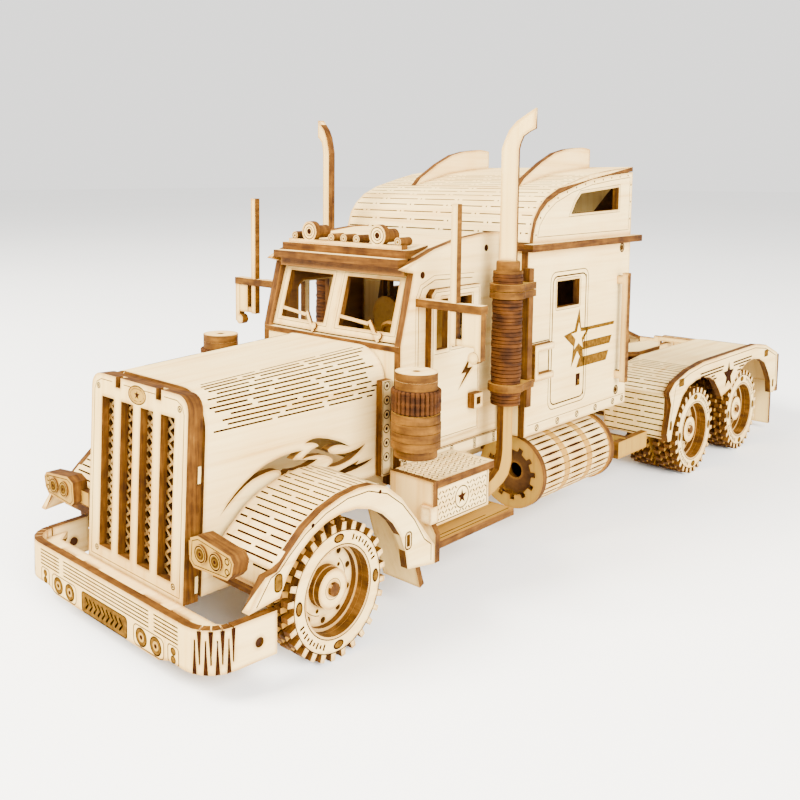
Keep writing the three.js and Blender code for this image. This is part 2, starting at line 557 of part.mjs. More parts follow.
function roofFin() {
  const top = smooth([[15.4, 111], [8, 111.4], [-8, 108.8], [-28.9, 98.45]], 8);
  const outline = [[-28.9, 96], [15.4, 103], ...top.slice(0, -1)];
  const under = band(ROOF_LINE.map(([y, z]) => [y, z + 0.02]), -8);
  return sheet(outline, "x", 18.2, 20).subtract(sheet(under, "x", 15, 25));
}

function grabBar(y, z0, z1) {
  const bar = block(SLEEP_X + 1.8, SLEEP_X + 3.6, y - 1, y + 1, z0, z1);
  const feet = [z0 + 1, z1 - 3.4].map((z) => block(SLEEP_X, SLEEP_X + 2.4, y - 1, y + 1, z, z + 2.4));
  return join(bar, feet);
}

// a flat bracket whose two prongs lie across the front edge of the sleeper's door
function doorBracket() {
  const outer = SLEEP_X + 2;
  const spine = block(SLEEP_X, outer, -39.4, -37.6, 46.6, 56.6);
  const prongs = [46.6, 54.8].map((z) => block(SLEEP_X, outer, -38, -29.6, z, z + 1.8));
  return join(spine, prongs);
}

// ---- fifth wheel and tail -------------------------------------------------------------------
function fifthWheelBase() {
  const deck = block(-RAIL_X, RAIL_X, 62, 96, 28.02, 29.8);
  const bore = ring(79, 32.4, 1.1, 12);
  const ear = sheet([[72, 29.4], [86, 29.4], [82, 34.4], [76, 34.4]], "x", 7.6, 9.4, [bore]);
  return deck.add(both(ear));
}

function fifthWheel() {
  const right = [[9, 66], [12.5, 71], [12.5, 88], [9, 96], [3.4, 96], [1.6, 83]];
  const plate = [...right, ...right.map(([x, y]) => [-x, y]).reverse()];
  const table = sheet(plate, "z", 35.4, 37.2);
  const lug = sheet([[76, 35.6], [77.2, 31.2], [80.8, 31.2], [82, 35.6]], "x", 5.2, 7);
  return table.add(both(lug)).add(drum("x", 0.85, -10.4, 10.4, [79, 32.4], 12));
}

function tailBoard() {
  const half = [[36.4, 14], [36.4, 29.4], [16, 29.4], [16, 30.6]];
  const outline = [...half, ...half.map(([x, z]) => [-x, z]).reverse()];
  const board = sheet(outline, "y", 145, 145 + PLY, [rect(-13, 13, 19.2, 28.6)]);
  const lamps = [24, 30].map((x) => both(drum("y", 2, 146.8, 148, [x, 22], 16)));
  return join(board, lamps);
}

// ---- assembly -------------------------------------------------------------------------------
node("chassis_frame", chassisFrame(), "brown");
axles();
node("bumper_skin", bumperSkin());
node("bumper_step", bumperStep());
grille();
node("hood_shell", hoodShell());
nodePair("hood_trim", hoodTrim());
nodePair("headlight", headlight(), "brown");
nodePair("front_fender", frontFender());
nodePair("rear_fender", rearFender());
node("cab_shell", cabShell());
node("cab_interior", cabInterior());
node("windscreen_frame", windscreen());
node("cab_roof", cabRoof());
node("sun_visor", sunVisor(), "brown");
node("roof_light_bar", roofLightBar(), "brown");
nodePair("cab_door", cabDoor());
nodePair("mirror", mirror());
nodePair("air_cleaner", airCleaner(), "brown");
nodePair("step_box", stepBox());
nodePair("fuel_tank", fuelTank());
nodePair("guard_bar", guardBar(), "brown");
nodePair("muffler", muffler(), "brown");
nodePair("exhaust_stack", stack());
nodePair("lower_pipe", lowerPipe());
node("sleeper_shell", sleeperShell());
node("sleeper_roof", sleeperRoof());
nodePair("roof_fin", roofFin());
nodePair("grab_bar_long", grabBar(10.6, 39, 73));
nodePair("door_bracket", doorBracket());
node("fifth_wheel_base", fifthWheelBase(), "brown");
node("fifth_wheel", fifthWheel());
node("tail_board", tailBoard());

export default group;
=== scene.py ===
"""Looks for a laser-cut plywood model of a long-nose road tractor.

Shapes are given in millimetres in the model's own frame: +X the truck's left, -Y its front, +Z up.
"""

import json
import math
import random

import bpy
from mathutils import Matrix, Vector
from mathutils.bvhtree import BVHTree
from mathutils.geometry import tessellate_polygon


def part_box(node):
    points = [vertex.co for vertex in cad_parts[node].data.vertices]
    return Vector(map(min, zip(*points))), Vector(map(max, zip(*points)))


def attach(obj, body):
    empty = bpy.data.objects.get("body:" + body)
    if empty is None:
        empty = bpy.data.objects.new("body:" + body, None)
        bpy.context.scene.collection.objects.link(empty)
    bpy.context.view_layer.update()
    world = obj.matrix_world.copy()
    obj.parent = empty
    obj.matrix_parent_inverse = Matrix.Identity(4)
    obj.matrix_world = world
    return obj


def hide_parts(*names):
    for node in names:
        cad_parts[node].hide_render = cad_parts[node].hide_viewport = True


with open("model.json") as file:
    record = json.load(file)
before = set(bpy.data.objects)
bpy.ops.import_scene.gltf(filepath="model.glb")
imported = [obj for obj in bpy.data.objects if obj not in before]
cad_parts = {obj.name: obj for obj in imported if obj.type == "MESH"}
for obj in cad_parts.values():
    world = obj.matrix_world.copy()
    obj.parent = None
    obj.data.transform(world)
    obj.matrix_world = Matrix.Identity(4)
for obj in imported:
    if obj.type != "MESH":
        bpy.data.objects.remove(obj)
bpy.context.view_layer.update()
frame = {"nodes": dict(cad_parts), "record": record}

MM = 0.001
PLY = 2  # sheet thickness
UP = Vector((0, 0, 1))
LIFT = 0.035  # how far a burnt line stands off its face
RAIL = 12.05  # just outside the frame rails
STEP_FACE = 38.2  # the outer side of the step's storage box
TREAD_TOP = 16.2
THIN = 2.7  # a face this close to its opposite one is a broad face of the ply
TRUCK = "truck_body"
SIDES = {"left": 1, "right": -1}
FLANKS = (("left", 1, "+x"), ("right", -1, "-x"))  # side, sign of x, and the way it faces


def corners(node):
    """Lowest and highest corner of a CAD node, in millimetres."""
    low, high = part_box(node)
    return low / MM, high / MM


# ---- finishes ----

class Nodes:
    """Builds a material's node tree."""

    def __init__(self, name):
        self.material = bpy.data.materials.new(name)
        self.material.use_nodes = True
        self.tree = self.material.node_tree
        self.shader = self.tree.nodes["Principled BSDF"]
        self.place = self.add("ShaderNodeTexCoord").outputs["Object"]

    def add(self, kind, **settings):
        made = self.tree.nodes.new(kind)
        for key, value in settings.items():
            setattr(made, key, value)
        return made

    def link(self, source, target):
        self.tree.links.new(source, target)

    def feed(self, socket, value):
        """Sets a socket to a number or a colour, or links another node's output to it."""
        if isinstance(value, (int, float)):
            socket.default_value = value
        elif isinstance(value, tuple):
            socket.default_value = (*value, 1)
        else:
            self.link(value, socket)

    def stretched(self, scale):
        mapping = self.add("ShaderNodeMapping")
        mapping.inputs["Scale"].default_value = scale
        self.link(self.place, mapping.inputs["Vector"])
        return mapping.outputs["Vector"]

    def noise(self, vector, scale, detail=4, roughness=0.55):
        made = self.add("ShaderNodeTexNoise")
        made.inputs["Scale"].default_value = scale
        made.inputs["Detail"].default_value = detail
        made.inputs["Roughness"].default_value = roughness
        self.link(vector, made.inputs["Vector"])
        return made.outputs["Fac"]

    def ramp(self, value, stops):
        made = self.add("ShaderNodeValToRGB")
        bar = made.color_ramp
        while len(bar.elements) < len(stops):
            bar.elements.new(0.5)
        for element, (at, colour) in zip(bar.elements, stops):
            element.position = at
            element.color = (*colour, 1)
        self.link(value, made.inputs["Fac"])
        return made.outputs["Color"]

    def mix(self, amount, first, second, blend="MIX"):
        made = self.add("ShaderNodeMix", data_type="RGBA", blend_type=blend)
        for socket, value in (("Factor", amount), ("A", first), ("B", second)):
            self.feed(made.inputs[socket], value)
        return made.outputs["Result"]

    def math(self, operation, *values, clamp=True):
        made = self.add("ShaderNodeMath", operation=operation, use_clamp=clamp)
        for socket, value in zip(made.inputs, values):
            self.feed(socket, value)
        return made.outputs["Value"]

    def near_edge(self, radius):
        """1 beside a sharp edge, 0 on an open face."""
        bevel = self.add("ShaderNodeBevel", samples=5)
        bevel.inputs["Radius"].default_value = radius
        turned = self.add("ShaderNodeVectorMath", operation="DOT_PRODUCT")
        self.link(bevel.outputs["Normal"], turned.inputs[0])
        self.link(self.add("ShaderNodeNewGeometry").outputs["True Normal"], turned.inputs[1])
        bent = self.math("SUBTRACT", 1, turned.outputs["Value"])
        return self.math("MULTIPLY", bent, 9)

    def bump(self, height, strength, distance):
        made = self.add("ShaderNodeBump")
        made.inputs["Strength"].default_value = strength
        made.inputs["Distance"].default_value = distance
        self.link(height, made.inputs["Height"])
        self.link(made.outputs["Normal"], self.shader.inputs["Normal"])

    def surface(self, colour, rough=0.6, sheen=0.25):
        self.link(colour, self.shader.inputs["Base Color"])
        self.shader.inputs["Roughness"].default_value = rough
        self.shader.inputs["Specular IOR Level"].default_value = sheen
        return self.material


PALE = [(0.28, (0.56, 0.345, 0.105)), (0.44, (0.68, 0.475, 0.185)), (0.6, (0.735, 0.54, 0.23)),
        (0.8, (0.62, 0.41, 0.14))]
CREAM = [(0.28, (0.52, 0.305, 0.08)), (0.44, (0.63, 0.425, 0.142)), (0.6, (0.68, 0.48, 0.172)),
         (0.8, (0.57, 0.365, 0.108))]
# SHADED is painted shade: a dark wood tone for faces inside the cab, sleeper, hood and tanks, where shade
# falls
SHADED = [(0.28, (0.04, 0.015, 0.0026)), (0.46, (0.07, 0.028, 0.0052)), (0.62, (0.09, 0.038, 0.0072)),
          (0.8, (0.052, 0.02, 0.0036))]
EDGE = [(0.25, (0.01, 0.0028, 0.0003)), (0.42, (0.042, 0.014, 0.0013)), (0.58, (0.092, 0.034, 0.0032)),
        (0.8, (0.19, 0.082, 0.009))]
STACK = [(0.25, (0.004, 0.001, 0.0002)), (0.42, (0.022, 0.0062, 0.0006)), (0.6, (0.066, 0.0205, 0.0019)),
         (0.82, (0.165, 0.061, 0.006))]
GOLDEN = [(0.25, (0.014, 0.0042, 0.0004)), (0.42, (0.05, 0.0178, 0.0014)), (0.58, (0.108, 0.042, 0.0032)),
          (0.8, (0.225, 0.1, 0.0092))]
HONEY = [(0.28, (0.22, 0.112, 0.011)), (0.5, (0.32, 0.178, 0.021)), (0.8, (0.26, 0.138, 0.015))]
CHAR_AND_SHADE = [(0.25, (0.01, 0.003, 0.001)), (0.5, (0.025, 0.008, 0.002)), (0.8, (0.06, 0.019, 0.004))]
TAN = [(0.28, (0.26, 0.125, 0.014)), (0.5, (0.37, 0.195, 0.027)), (0.8, (0.3, 0.148, 0.018))]
SMOKE = (0.25, 0.105, 0.011)  # the brown haze that the laser leaves beside a cut


def face_wood(name, grain, stops):
    """Broad ply face, hazed brown beside its cuts, with fibres along the axis called grain."""
    n = Nodes(name)
    scale = [420, 420, 420]
    scale["xyz".index(grain)] = 16
    fibre = n.noise(n.stretched(scale), 1, 5, 0.6)
    cloud = n.noise(n.stretched((45, 45, 45)), 1, 2)
    wood = n.ramp(fibre, stops)
    patchy = n.ramp(cloud, [(0.4, (1, 1, 1)), (0.75, (0.93, 0.84, 0.68))])
    wood = n.mix(0.8, wood, patchy, "MULTIPLY")
    haze = n.math("MULTIPLY", n.near_edge(1.5 * MM), n.math("MULTIPLY", cloud, 1.5))
    n.bump(fibre, 0.25, 0.00008)
    return n.surface(n.mix(haze, wood, SMOKE), 0.66, 0.14)


def edge_wood(name, stops, bands):
    """Laser-burnt edge: cloudy brown, with the glued layers showing as fine bands."""
    n = Nodes(name)
    burn = n.noise(n.stretched((260, 260, 260)), 1, 4)
    layers = n.noise(n.stretched(bands), 1, 3)
    half = n.math("MULTIPLY", layers, 0.5, clamp=False)
    tone = n.math("MULTIPLY_ADD", burn, 0.5, half, clamp=False)
    n.bump(layers, 0.35, 0.00012)
    return n.surface(n.ramp(tone, stops), 0.7, 0.08)


def line_burn(name, dark, light):
    """The scorched bottom of an engraved line."""
    n = Nodes(name)
    char = n.noise(n.stretched((900, 900, 900)), 1, 3)
    n.bump(char, 0.4, 0.00005)
    return n.surface(n.ramp(char, [(0.35, dark), (0.65, light)]), 0.85, 0.02)


FINISH = {
    "face": face_wood("ply_face_lengthwise", "y", PALE),
    "front": face_wood("ply_face_upright", "z", CREAM),
    "cross": face_wood("ply_face_crosswise", "x", PALE),
    # painted shade on inside faces
    "inner": face_wood("ply_face_painted_shade", "y", SHADED),
    "bare": edge_wood("ply_face_small", PALE, (60, 60, 60)),
    "edge": edge_wood("ply_edge_sideways", EDGE, (1500, 110, 110)),
    "edge_y": edge_wood("ply_edge_endways", EDGE, (110, 1500, 110)),
    "edge_z": edge_wood("ply_edge_level", EDGE, (110, 110, 1500)),
    "stack": edge_wood("ply_edge_stack", STACK, (130, 130, 900)),
    "golden": edge_wood("ply_edge_golden", GOLDEN, (130, 130, 800)),
    "honey": face_wood("ply_face_honey", "z", HONEY),
    "line": line_burn("engraved_line", (0.007, 0.0018, 0.0004), (0.026, 0.007, 0.0012)),
    # near-black: charred wood, and painted shade on the board behind the grille and inside the tanks
    "dark": edge_wood("ply_edge_charred_and_shaded", CHAR_AND_SHADE, (300, 300, 300)),
    # a darker face: real scorch bands on the tank slats, and painted shade inside the cab and between tyre
    # teeth
    "tan": face_wood("ply_face_scorched_and_shaded", "y", TAN),
    "amber": line_burn("engraved_fill", (0.06, 0.026, 0.0022), (0.125, 0.057, 0.0052)),
}
ORDER = list(FINISH)


# ---- the CAD nodes: broad ply faces pale, cut edges burnt, faces inside rooms in painted shade ----

# the axis across the sheet, for nodes whose pieces are too narrow to tell face from edge
SHEET_AXIS = {
    "x": ("cab_door", "hood_trim", "lower_pipe", "roof_fin", "door_bracket"),
    "y": ("grille_front", "grille_surround", "windscreen_frame", "headlight", "roof_light_bar",
          "tail_board", "grab_bar", "mirror"),
    "z": ("sun_visor", "fifth_wheel"),
}
# how far out the side walls lie of nodes whose sides are broad faces whatever their shape
OUTER_WALLS = {"cab_shell": 24.8, "sleeper_shell": 33.3, "front_fender": 39.6, "rear_fender": 39.6}
# nodes whose inside faces get painted shade
ROOMS = ("cab_shell", "sleeper_shell", "hood_shell", "sleeper_roof", "cab_roof")
BROAD = 3.2  # a polygon wider than this is no cut edge
ROOM = 75  # a face with wood this close in front of it is inside a room
MIRROR_ARM = (70, 72.4)  # the heights between which a mirror's level arm lies
# cab_interior gets the tan face, a darker tone that paints the shade inside the cab
FACES = {"cab_roof": "cross", "sleeper_roof": "cross", "cab_interior": "tan", "headlight": "honey",
         "lower_pipe": "honey", "guard_bar": "honey"}
EDGES = dict.fromkeys(("mirror", "grab_bar_long", "door_bracket", "guard_bar"), "golden")


def unsided(node):
    return node.removesuffix("_left").removesuffix("_right")


def sheet_axis(node):
    for axis, starts in SHEET_AXIS.items():
        if node.startswith(starts):
            return "xyz".index(axis)
    return None


def across_sheet(mesh, poly):
    """The narrow width of a polygon in millimetres, and the axis that this width runs along."""
    points = [mesh.vertices[i].co / MM for i in poly.vertices]
    across = poly.normal.orthogonal().normalized()
    along = poly.normal.cross(across)
    best = (1000, 0)
    for step in range(12):
        angle = math.pi * step / 12
        direction = across * math.cos(angle) + along * math.sin(angle)
        reach = [p.dot(direction) for p in points]
        main = max(range(3), key=lambda k: abs(direction[k]))
        best = min(best, (max(reach) - min(reach), main))
    return best


def is_thin_here(tree, mesh, poly):
    """Whether most of a polygon lies one sheet's thickness from the face behind it."""
    spots = [poly.center.lerp(mesh.vertices[i].co, 0.6) for i in poly.vertices] + [poly.center]
    inward = -poly.normal
    hits = [tree.ray_cast(p + inward * 0.02 * MM, inward, THIN * MM)[0] for p in spots]
    return sum(hit is not None for hit in hits) * 2 >= len(hits)


def dress(node):
    """Gives each polygon of a CAD node the finish of a broad face, an inner face in painted shade, or a cut
    edge.
    """
    face = FACES.get(unsided(node), "face")
    edge = EDGES.get(unsided(node), "edge")
    mesh = frame["nodes"][node].data
    tree = BVHTree.FromPolygons([v.co for v in mesh.vertices], [p.vertices for p in mesh.polygons])
    axis = sheet_axis(node)
    wall = OUTER_WALLS.get(unsided(node), 1000)
    names = [face, "front" if face == "face" else face, "inner"]
    names += ["edge", "edge_y", "edge_z"] if edge == "edge" else [edge] * 3
    mesh.materials.clear()
    for name in names:
        mesh.materials.append(FINISH[name])
    for poly in mesh.polygons:
        width, narrow = across_sheet(mesh, poly)
        if node.startswith("mirror") and MIRROR_ARM[0] < poly.center.z / MM < MIRROR_ARM[1]:
            pale = abs(poly.normal.z) > 0.7  # the level arm between the upright pieces
            narrow = 2
        elif axis is not None:
            pale = abs(poly.normal[axis]) > 0.7
            narrow = axis
        else:
            pale = width > BROAD or is_thin_here(tree, mesh, poly)
        if 0 < abs(poly.center.x) - wall * MM < 0.4 * MM and abs(poly.normal.x) > 0.9:
            pale = True
        poly.material_index = int(abs(poly.normal.y) > 0.7) if pale else 3 + narrow
        # a pale face with wood close in front of it lies inside a room: painted shade
        if node in ROOMS and pale:
            hit = tree.ray_cast(poly.center + poly.normal * 0.05 * MM, poly.normal, ROOM * MM)[0]
            if hit is not None:
                poly.material_index = 2


# ---- pieces made here ----

LAYERED = {"x": "edge", "y": "edge_y", "z": "edge_z"}  # the cut edge of a sheet across each axis


class Shape:
    """Points and faces in millimetres, each face with the name of its finish."""

    def __init__(self):
        self.points = []
        self.faces = []
        self.finish = []

    def add(self, points, faces, finish):
        base = len(self.points)
        self.points.extend(Vector(p) for p in points)
        for face in faces:
            self.faces.append([base + i for i in face])
            self.finish.append(finish)

    def piece(self, name, body, slot="pale_ply", replaces=()):
        mesh = bpy.data.meshes.new(name)
        mesh.from_pydata([p * MM for p in self.points], [], self.faces)
        used = sorted(set(self.finish), key=ORDER.index)
        for finish in used:
            mesh.materials.append(FINISH[finish])
        for poly, finish in zip(mesh.polygons, self.finish):
            poly.material_index = used.index(finish)
        obj = bpy.data.objects.new(name, mesh)
        bpy.context.scene.collection.objects.link(obj)
        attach(obj, body)
        if replaces:
            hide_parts(*replaces)

    def plate(self, outline, axis, low, high, holes=(), face="face", edge=None, bore=None):
        """A flat sheet with holes; outline in (y, z), (x, z) or (x, y) for axis x, y or z."""
        edge = edge or LAYERED[axis]
        loops = [outline] + list(holes)
        flat = [spot for loop in loops for spot in loop]
        triangles = tessellate_polygon([[Vector((u, v, 0)) for u, v in loop] for loop in loops])
        count = len(flat)
        points = [lay(u, v, w, axis) for w in (low, high) for u, v in flat]
        self.add(points, triangles, face)
        self.add(points, [[i + count for i in t] for t in triangles], face)
        start = 0
        for loop in loops:
            size = len(loop)
            sides = []
            for i in range(size):
                a = start + i
                b = start + (i + 1) % size
                sides.append([a, b, b + count, a + count])
            self.add(points, sides, bore if bore and start else edge)
            start += size

    def box(self, x0, x1, y0, y1, z0, z1, finish="edge"):
        points = [(x, y, z) for x in (x0, x1) for y in (y0, y1) for z in (z0, z1)]
        faces = [(0, 1, 3, 2), (4, 6, 7, 5), (0, 4, 5, 1), (2, 3, 7, 6), (0, 2, 6, 4), (1, 5, 7, 3)]
        self.add(points, faces, finish)

    def turned(self, centre, profile, steps=40, finish="stack", caps="stack"):
        """A round piece about an upright axis from (radius, z) pairs, closed at both ends."""
        cx, cy = centre
        points = []
        for radius, z in profile:
            points += [(cx + radius * c, cy + radius * s, z) for c, s in circle_steps(steps)]
        walls = []
        for row in range(len(profile) - 1):
            for i in range(steps):
                a = row * steps + i
                b = row * steps + (i + 1) % steps
                walls.append([a, b, b + steps, a + steps])
        last = (len(profile) - 1) * steps
        self.add(points, walls, finish)
        self.add(points, [list(range(steps - 1, -1, -1)), list(range(last, last + steps))], caps)


def lay(u, v, w, axis):
    """A flat point (u, v) at height w along an axis, as a point in space."""
    return {"x": (w, u, v), "y": (u, w, v), "z": (u, v, w)}[axis]


def span(sign, a, b):
    """Two distances from the middle as places on one side of it, lowest first."""
    return sorted((sign * a, sign * b))


def polar(u, v, reach, angle):
    return u + reach * math.cos(angle), v + reach * math.sin(angle)


def circle_steps(count, start=0):
    return [(math.cos(start + 2 * math.pi * i / count), math.sin(start + 2 * math.pi * i / count))
            for i in range(count)]


def oval(u, v, half_u, half_v, count=28):
    return [(u + half_u * c, v + half_v * s) for c, s in circle_steps(count)]


def circle(u, v, radius, count):
    return oval(u, v, radius, radius, count)


def rect(u0, u1, v0, v1):
    return [(u0, v0), (u1, v0), (u1, v1), (u0, v1)]


def rounded(u0, u1, v0, v1, radius, steps=4):
    """A rectangle with round corners."""
    points = []
    for cu, cv, turn in ((u1 - radius, v1 - radius, 0), (u0 + radius, v1 - radius, 1),
                         (u0 + radius, v0 + radius, 2), (u1 - radius, v0 + radius, 3)):
        for i in range(steps + 1):
            angle = (turn + i / steps) * math.pi / 2
            points.append(polar(cu, cv, radius, angle))
    return points


def star_outline(u, v, radius, inner=0.4):
    points = []
    for i in range(10):
        angle = math.pi / 2 + math.pi * i / 5
        reach = radius if i % 2 == 0 else radius * inner
        points.append(polar(u, v, reach, angle))
    return points


# ---- engraving ----

class Engraving:
    """Burnt lines laid on the surface of the CAD nodes of one body."""

    TOWARD = {"+x": Vector((-1, 0, 0)), "-x": Vector((1, 0, 0)), "+y": Vector((0, -1, 0)),
              "-y": Vector((0, 1, 0)), "+z": Vector((0, 0, -1))}

    def __init__(self, name, body, nodes):
        self.name = name
        self.body = body
        self.shape = Shape()
        self.node = self.side = None
        self.trees = {}
        for node in nodes:
            mesh = frame["nodes"][node].data
            points = [v.co / MM for v in mesh.vertices]
            self.trees[node] = BVHTree.FromPolygons(points, [p.vertices for p in mesh.polygons])

    def on(self, node, side=None):
        """Chooses the node, and the side of it, that the next marks lie on."""
        self.node = node
        self.side = side

    def drop(self, start, toward):
        """Where a ray first meets the node: (point, normal), or None."""
        toward = Vector(toward).normalized()
        hit, normal, _, _ = self.trees[self.node].ray_cast(Vector(start), toward)
        if hit is None:
            return None
        if normal.dot(toward) > 0:
            normal = -normal
        return hit + normal * LIFT, normal

    def seen(self, points, step=1.6):
        """Flat points projected on the node from its side, with long stretches split."""
        toward = self.TOWARD[self.side]
        axis = self.side[1]
        far = -200 * toward
        placed = []
        for (u0, v0), (u1, v1) in zip(points, points[1:] + [points[-1]]):
            parts = max(1, math.ceil(math.hypot(u1 - u0, v1 - v0) / step))
            for i in range(parts):
                t = i / parts
                u = u0 + (u1 - u0) * t
                v = v0 + (v1 - v0) * t
                placed.append(self.drop(Vector(lay(u, v, 0, axis)) + far, toward))
        return placed

    def ribbon(self, placed, width, finish="line", reach=3.5, tip=1):
        """A strip through placed points, narrowing to tip; a miss or a jump past reach breaks it."""
        run = []
        for spot in placed + [None]:
            if spot is None or (run and (spot[0] - run[-1][0]).length > reach):
                self.strip(run, width, finish, tip)
                run = []
            if spot is not None:
                run.append(spot)
        self.strip(run, width, finish, tip)

    def strip(self, run, width, finish, tip=1):
        run = [s for i, s in enumerate(run) if i == 0 or (s[0] - run[i - 1][0]).length > 1e-4]
        if len(run) < 2:
            return
        points = []
        for i, (point, normal) in enumerate(run):
            ahead = run[min(i + 1, len(run) - 1)][0] - run[max(i - 1, 0)][0]
            share = 1 + (tip - 1) * i / (len(run) - 1)
            side = ahead.cross(normal).normalized() * share * width / 2
            points += [point + side, point - side]
        faces = [[2 * i, 2 * i + 1, 2 * i + 3, 2 * i + 2] for i in range(len(run) - 1)]
        self.shape.add(points, faces, finish)

    def line(self, points, width, finish="line", step=1.6):
        self.ribbon(self.seen(points, step), width, finish, step * 2.2)

    def loop(self, outline, width, step=1.6):
        self.line(outline + outline[:1], width, step=step)

    def ring(self, u, v, radius, count, width, step=1.6):
        self.loop(circle(u, v, radius, count), width, step)

    def disc(self, u, v, radius, count, finish="line", rise=0):
        self.patch(circle(u, v, radius, count), finish, rise)

    def lamp(self, u, v, *layers):
        """Rings (radius, corners, width) and discs (radius, corners, finish, rise) round one point."""
        for radius, count, *look in layers:
            draw = self.disc if isinstance(look[0], str) else self.ring
            draw(u, v, radius, count, *look)

    def slit(self, spots, toward, back, width, reach=25):
        """A line through points in space, each dropped on the node from some way back."""
        self.ribbon([self.drop(Vector(spot) - toward * back, toward) for spot in spots], width, reach=reach)

    def patch(self, outline, finish="line", rise=0):
        """A filled shape on a flat face, rise millimetres above the other lines."""
        placed = [self.seen([p])[0] for p in outline]
        if any(spot is None for spot in placed):
            return
        triangles = tessellate_polygon([[Vector((u, v, 0)) for u, v in outline]])
        self.shape.add([spot[0] + spot[1] * rise for spot in placed], triangles, finish)

    def rivet(self, u, v, radius):
        self.ring(u, v, radius, 14, 0.26)
        self.disc(u, v, radius * 0.45, 10)

    def screw(self, u, v, radius):
        """A ring with a slanted slot."""
        self.ring(u, v, radius, 16, 0.34)
        du, dv = radius * 0.4, radius * 0.5
        self.line([(u - du, v - dv), (u + du, v + dv)], 0.5)

    def finish_piece(self):
        self.shape.piece(self.name, self.body)


def dashes(start, end, rng):
    """The lengths of a broken line, as (from, to) pairs."""
    spans = []
    while start < end - 1:
        stop = min(end, start + rng.uniform(9, 21))
        spans.append((start, stop))
        start = stop + 1.5
    return spans


# ---- wheels ----

TEETH = 28


def tread(y, z, radius, phase):
    """Outline of one toothed tyre layer."""
    root = radius - 1.7
    points = []
    for tooth in range(TEETH):
        for part, reach in ((0.04, root), (0.1, radius), (0.46, radius), (0.52, root)):
            angle = 2 * math.pi * (tooth + part + phase) / TEETH
            points.append(polar(y, z, reach, angle))
    return points


def tyre(shape, y, z, radius, low, high, rim, pale_layers):
    """Plywood rings stacked side by side, each turned by half a tooth; the last argument lists the pale
    layers, and the others get a darker face, partly burn and partly painted shade between the teeth.
    """
    layers = 4
    thick = (high - low) / layers
    for layer in range(layers):
        phase = 0.5 * (layer % 2) - 0.28
        start = low + layer * thick
        outline = tread(y, z, radius - 0.05 * (layer % 2), phase)
        # layers not listed as pale: darker face, partly burn and partly painted shade
        shape.plate(outline, "x", start + 0.03, start + thick - 0.03, [circle(y, z, rim, 40)],
                    face="face" if layer in pale_layers else "tan", bore="golden")


def wheel(name, side):
    node = f"wheel_{name}_{side}"
    low, high = corners(node)
    sign = SIDES[side]
    y = (low.y + high.y) / 2
    z = (low.z + high.z) / 2
    radius = (high.z - low.z) / 2
    inner, outer = sorted((abs(low.x), abs(high.x)))
    rim = 9.6
    bore = circle(y, z, 1.5, 20)
    shape = Shape()

    def disc(reach, count, a, b, holes=(), **finish):
        shape.plate(circle(y, z, reach, count), "x", *span(sign, a, b), holes, **finish)

    tyre(shape, y, z, radius, *span(sign, outer - 8, outer), rim, [3 if sign > 0 else 0])
    if outer - inner > 12:
        tyre(shape, y, z, radius, *span(sign, inner, inner + 8), rim, [])
        disc(rim + 0.1, 40, inner + 3, inner + 5, [bore])
        disc(5.4, 32, inner + 5, outer - 6.6, [bore])
    bolts = [circle(y + 7.9 * c, z + 7.9 * s, 0.72, 14) for c, s in circle_steps(10, 0.3)]
    disc(rim + 0.1, 40, outer - 6.4, outer - 4.6, bolts + [bore])
    disc(rim + 0.1, 40, outer - 8, outer - 6.5, [bore], face="edge")
    disc(rim - 0.02, 40, outer - 4.55, outer - 3.2, [circle(y, z, 8.9, 40)])
    for start, size in ((outer - 4.55, 4.6), (outer - 3.1, 4.4)):
        disc(size, 32, start, start + 1.4, [bore], edge="golden")
    shape.piece(f"layered_wheel_{name}_{side}", f"axle_set_{name}", replaces=[node])
    return y, z, outer, sign


def wheel_marks(name, side, y, z, outer, sign):
    """Engraved rings, ovals and nut marks on a wheel's outer faces."""
    shape = Shape()
    face = sign * (outer + LIFT)
    disc = sign * (outer - 4.6 + LIFT)
    hub = sign * (outer - 1.7 + LIFT)

    def hoop(radius, width, x, count=48, share=1, start=0):
        points = []
        for i in range(count + 1):
            angle = start + share * 2 * math.pi * i / count
            points += [(x, *polar(y, z, radius + w, angle)) for w in (-width / 2, width / 2)]
        shape.add(points, [[2 * i, 2 * i + 1, 2 * i + 3, 2 * i + 2] for i in range(count)], "line")

    def spot(radius, angle, size, x, finish="line", stretch=1):
        cu, cv = polar(y, z, radius, angle)
        ring = []
        for c, s in circle_steps(14):
            along = size * stretch * c
            across = size * s
            ring.append((x, cu - along * math.sin(angle) + across * math.cos(angle),
                         cv + along * math.cos(angle) + across * math.sin(angle)))
        shape.add(ring, [list(range(14))], finish)

    hoop(13.15, 0.22, face, 72)
    hoop(10.15, 0.22, face, 64)
    for quarter in range(4):
        turn = quarter * math.pi / 2
        spot(11.7, turn, 1, face, "line", 1.6)
        spot(11.7, turn, 0.68, face + sign * 0.02, "amber", 1.75)
    for group in range(2):
        for tick in range(9):
            angle = 0.36 + group * math.pi + tick * 0.1
            hoop(11.7, 1.3 - 0.5 * (tick % 2), face, 1, 0.007, angle)
    for start in range(5):
        hoop(6.7, 0.18, disc, 8, 0.12, start * 2 * math.pi / 5)
        spot(5.7, 0.6 + start * 2 * math.pi / 5, 0.5, disc, "amber")
        spot(5.7, 0.6 + start * 2 * math.pi / 5, 0.25, disc * 1.0004)
    hoop(2.3, 0.14, hub, 24)
    shape.piece(f"wheel_marks_{name}_{side}", f"axle_set_{name}")


def wheels():
    for name in ("front", "mid", "rear"):
        for side in SIDES:
            wheel_marks(name, side, *wheel(name, side))


# ---- round stacks: mufflers, air cleaners and tanks ----

def flipped(shape, sign):
    if sign < 0:
        shape.points = [Vector((-p.x, p.y, p.z)) for p in shape.points]
        shape.faces = [face[::-1] for face in shape.faces]


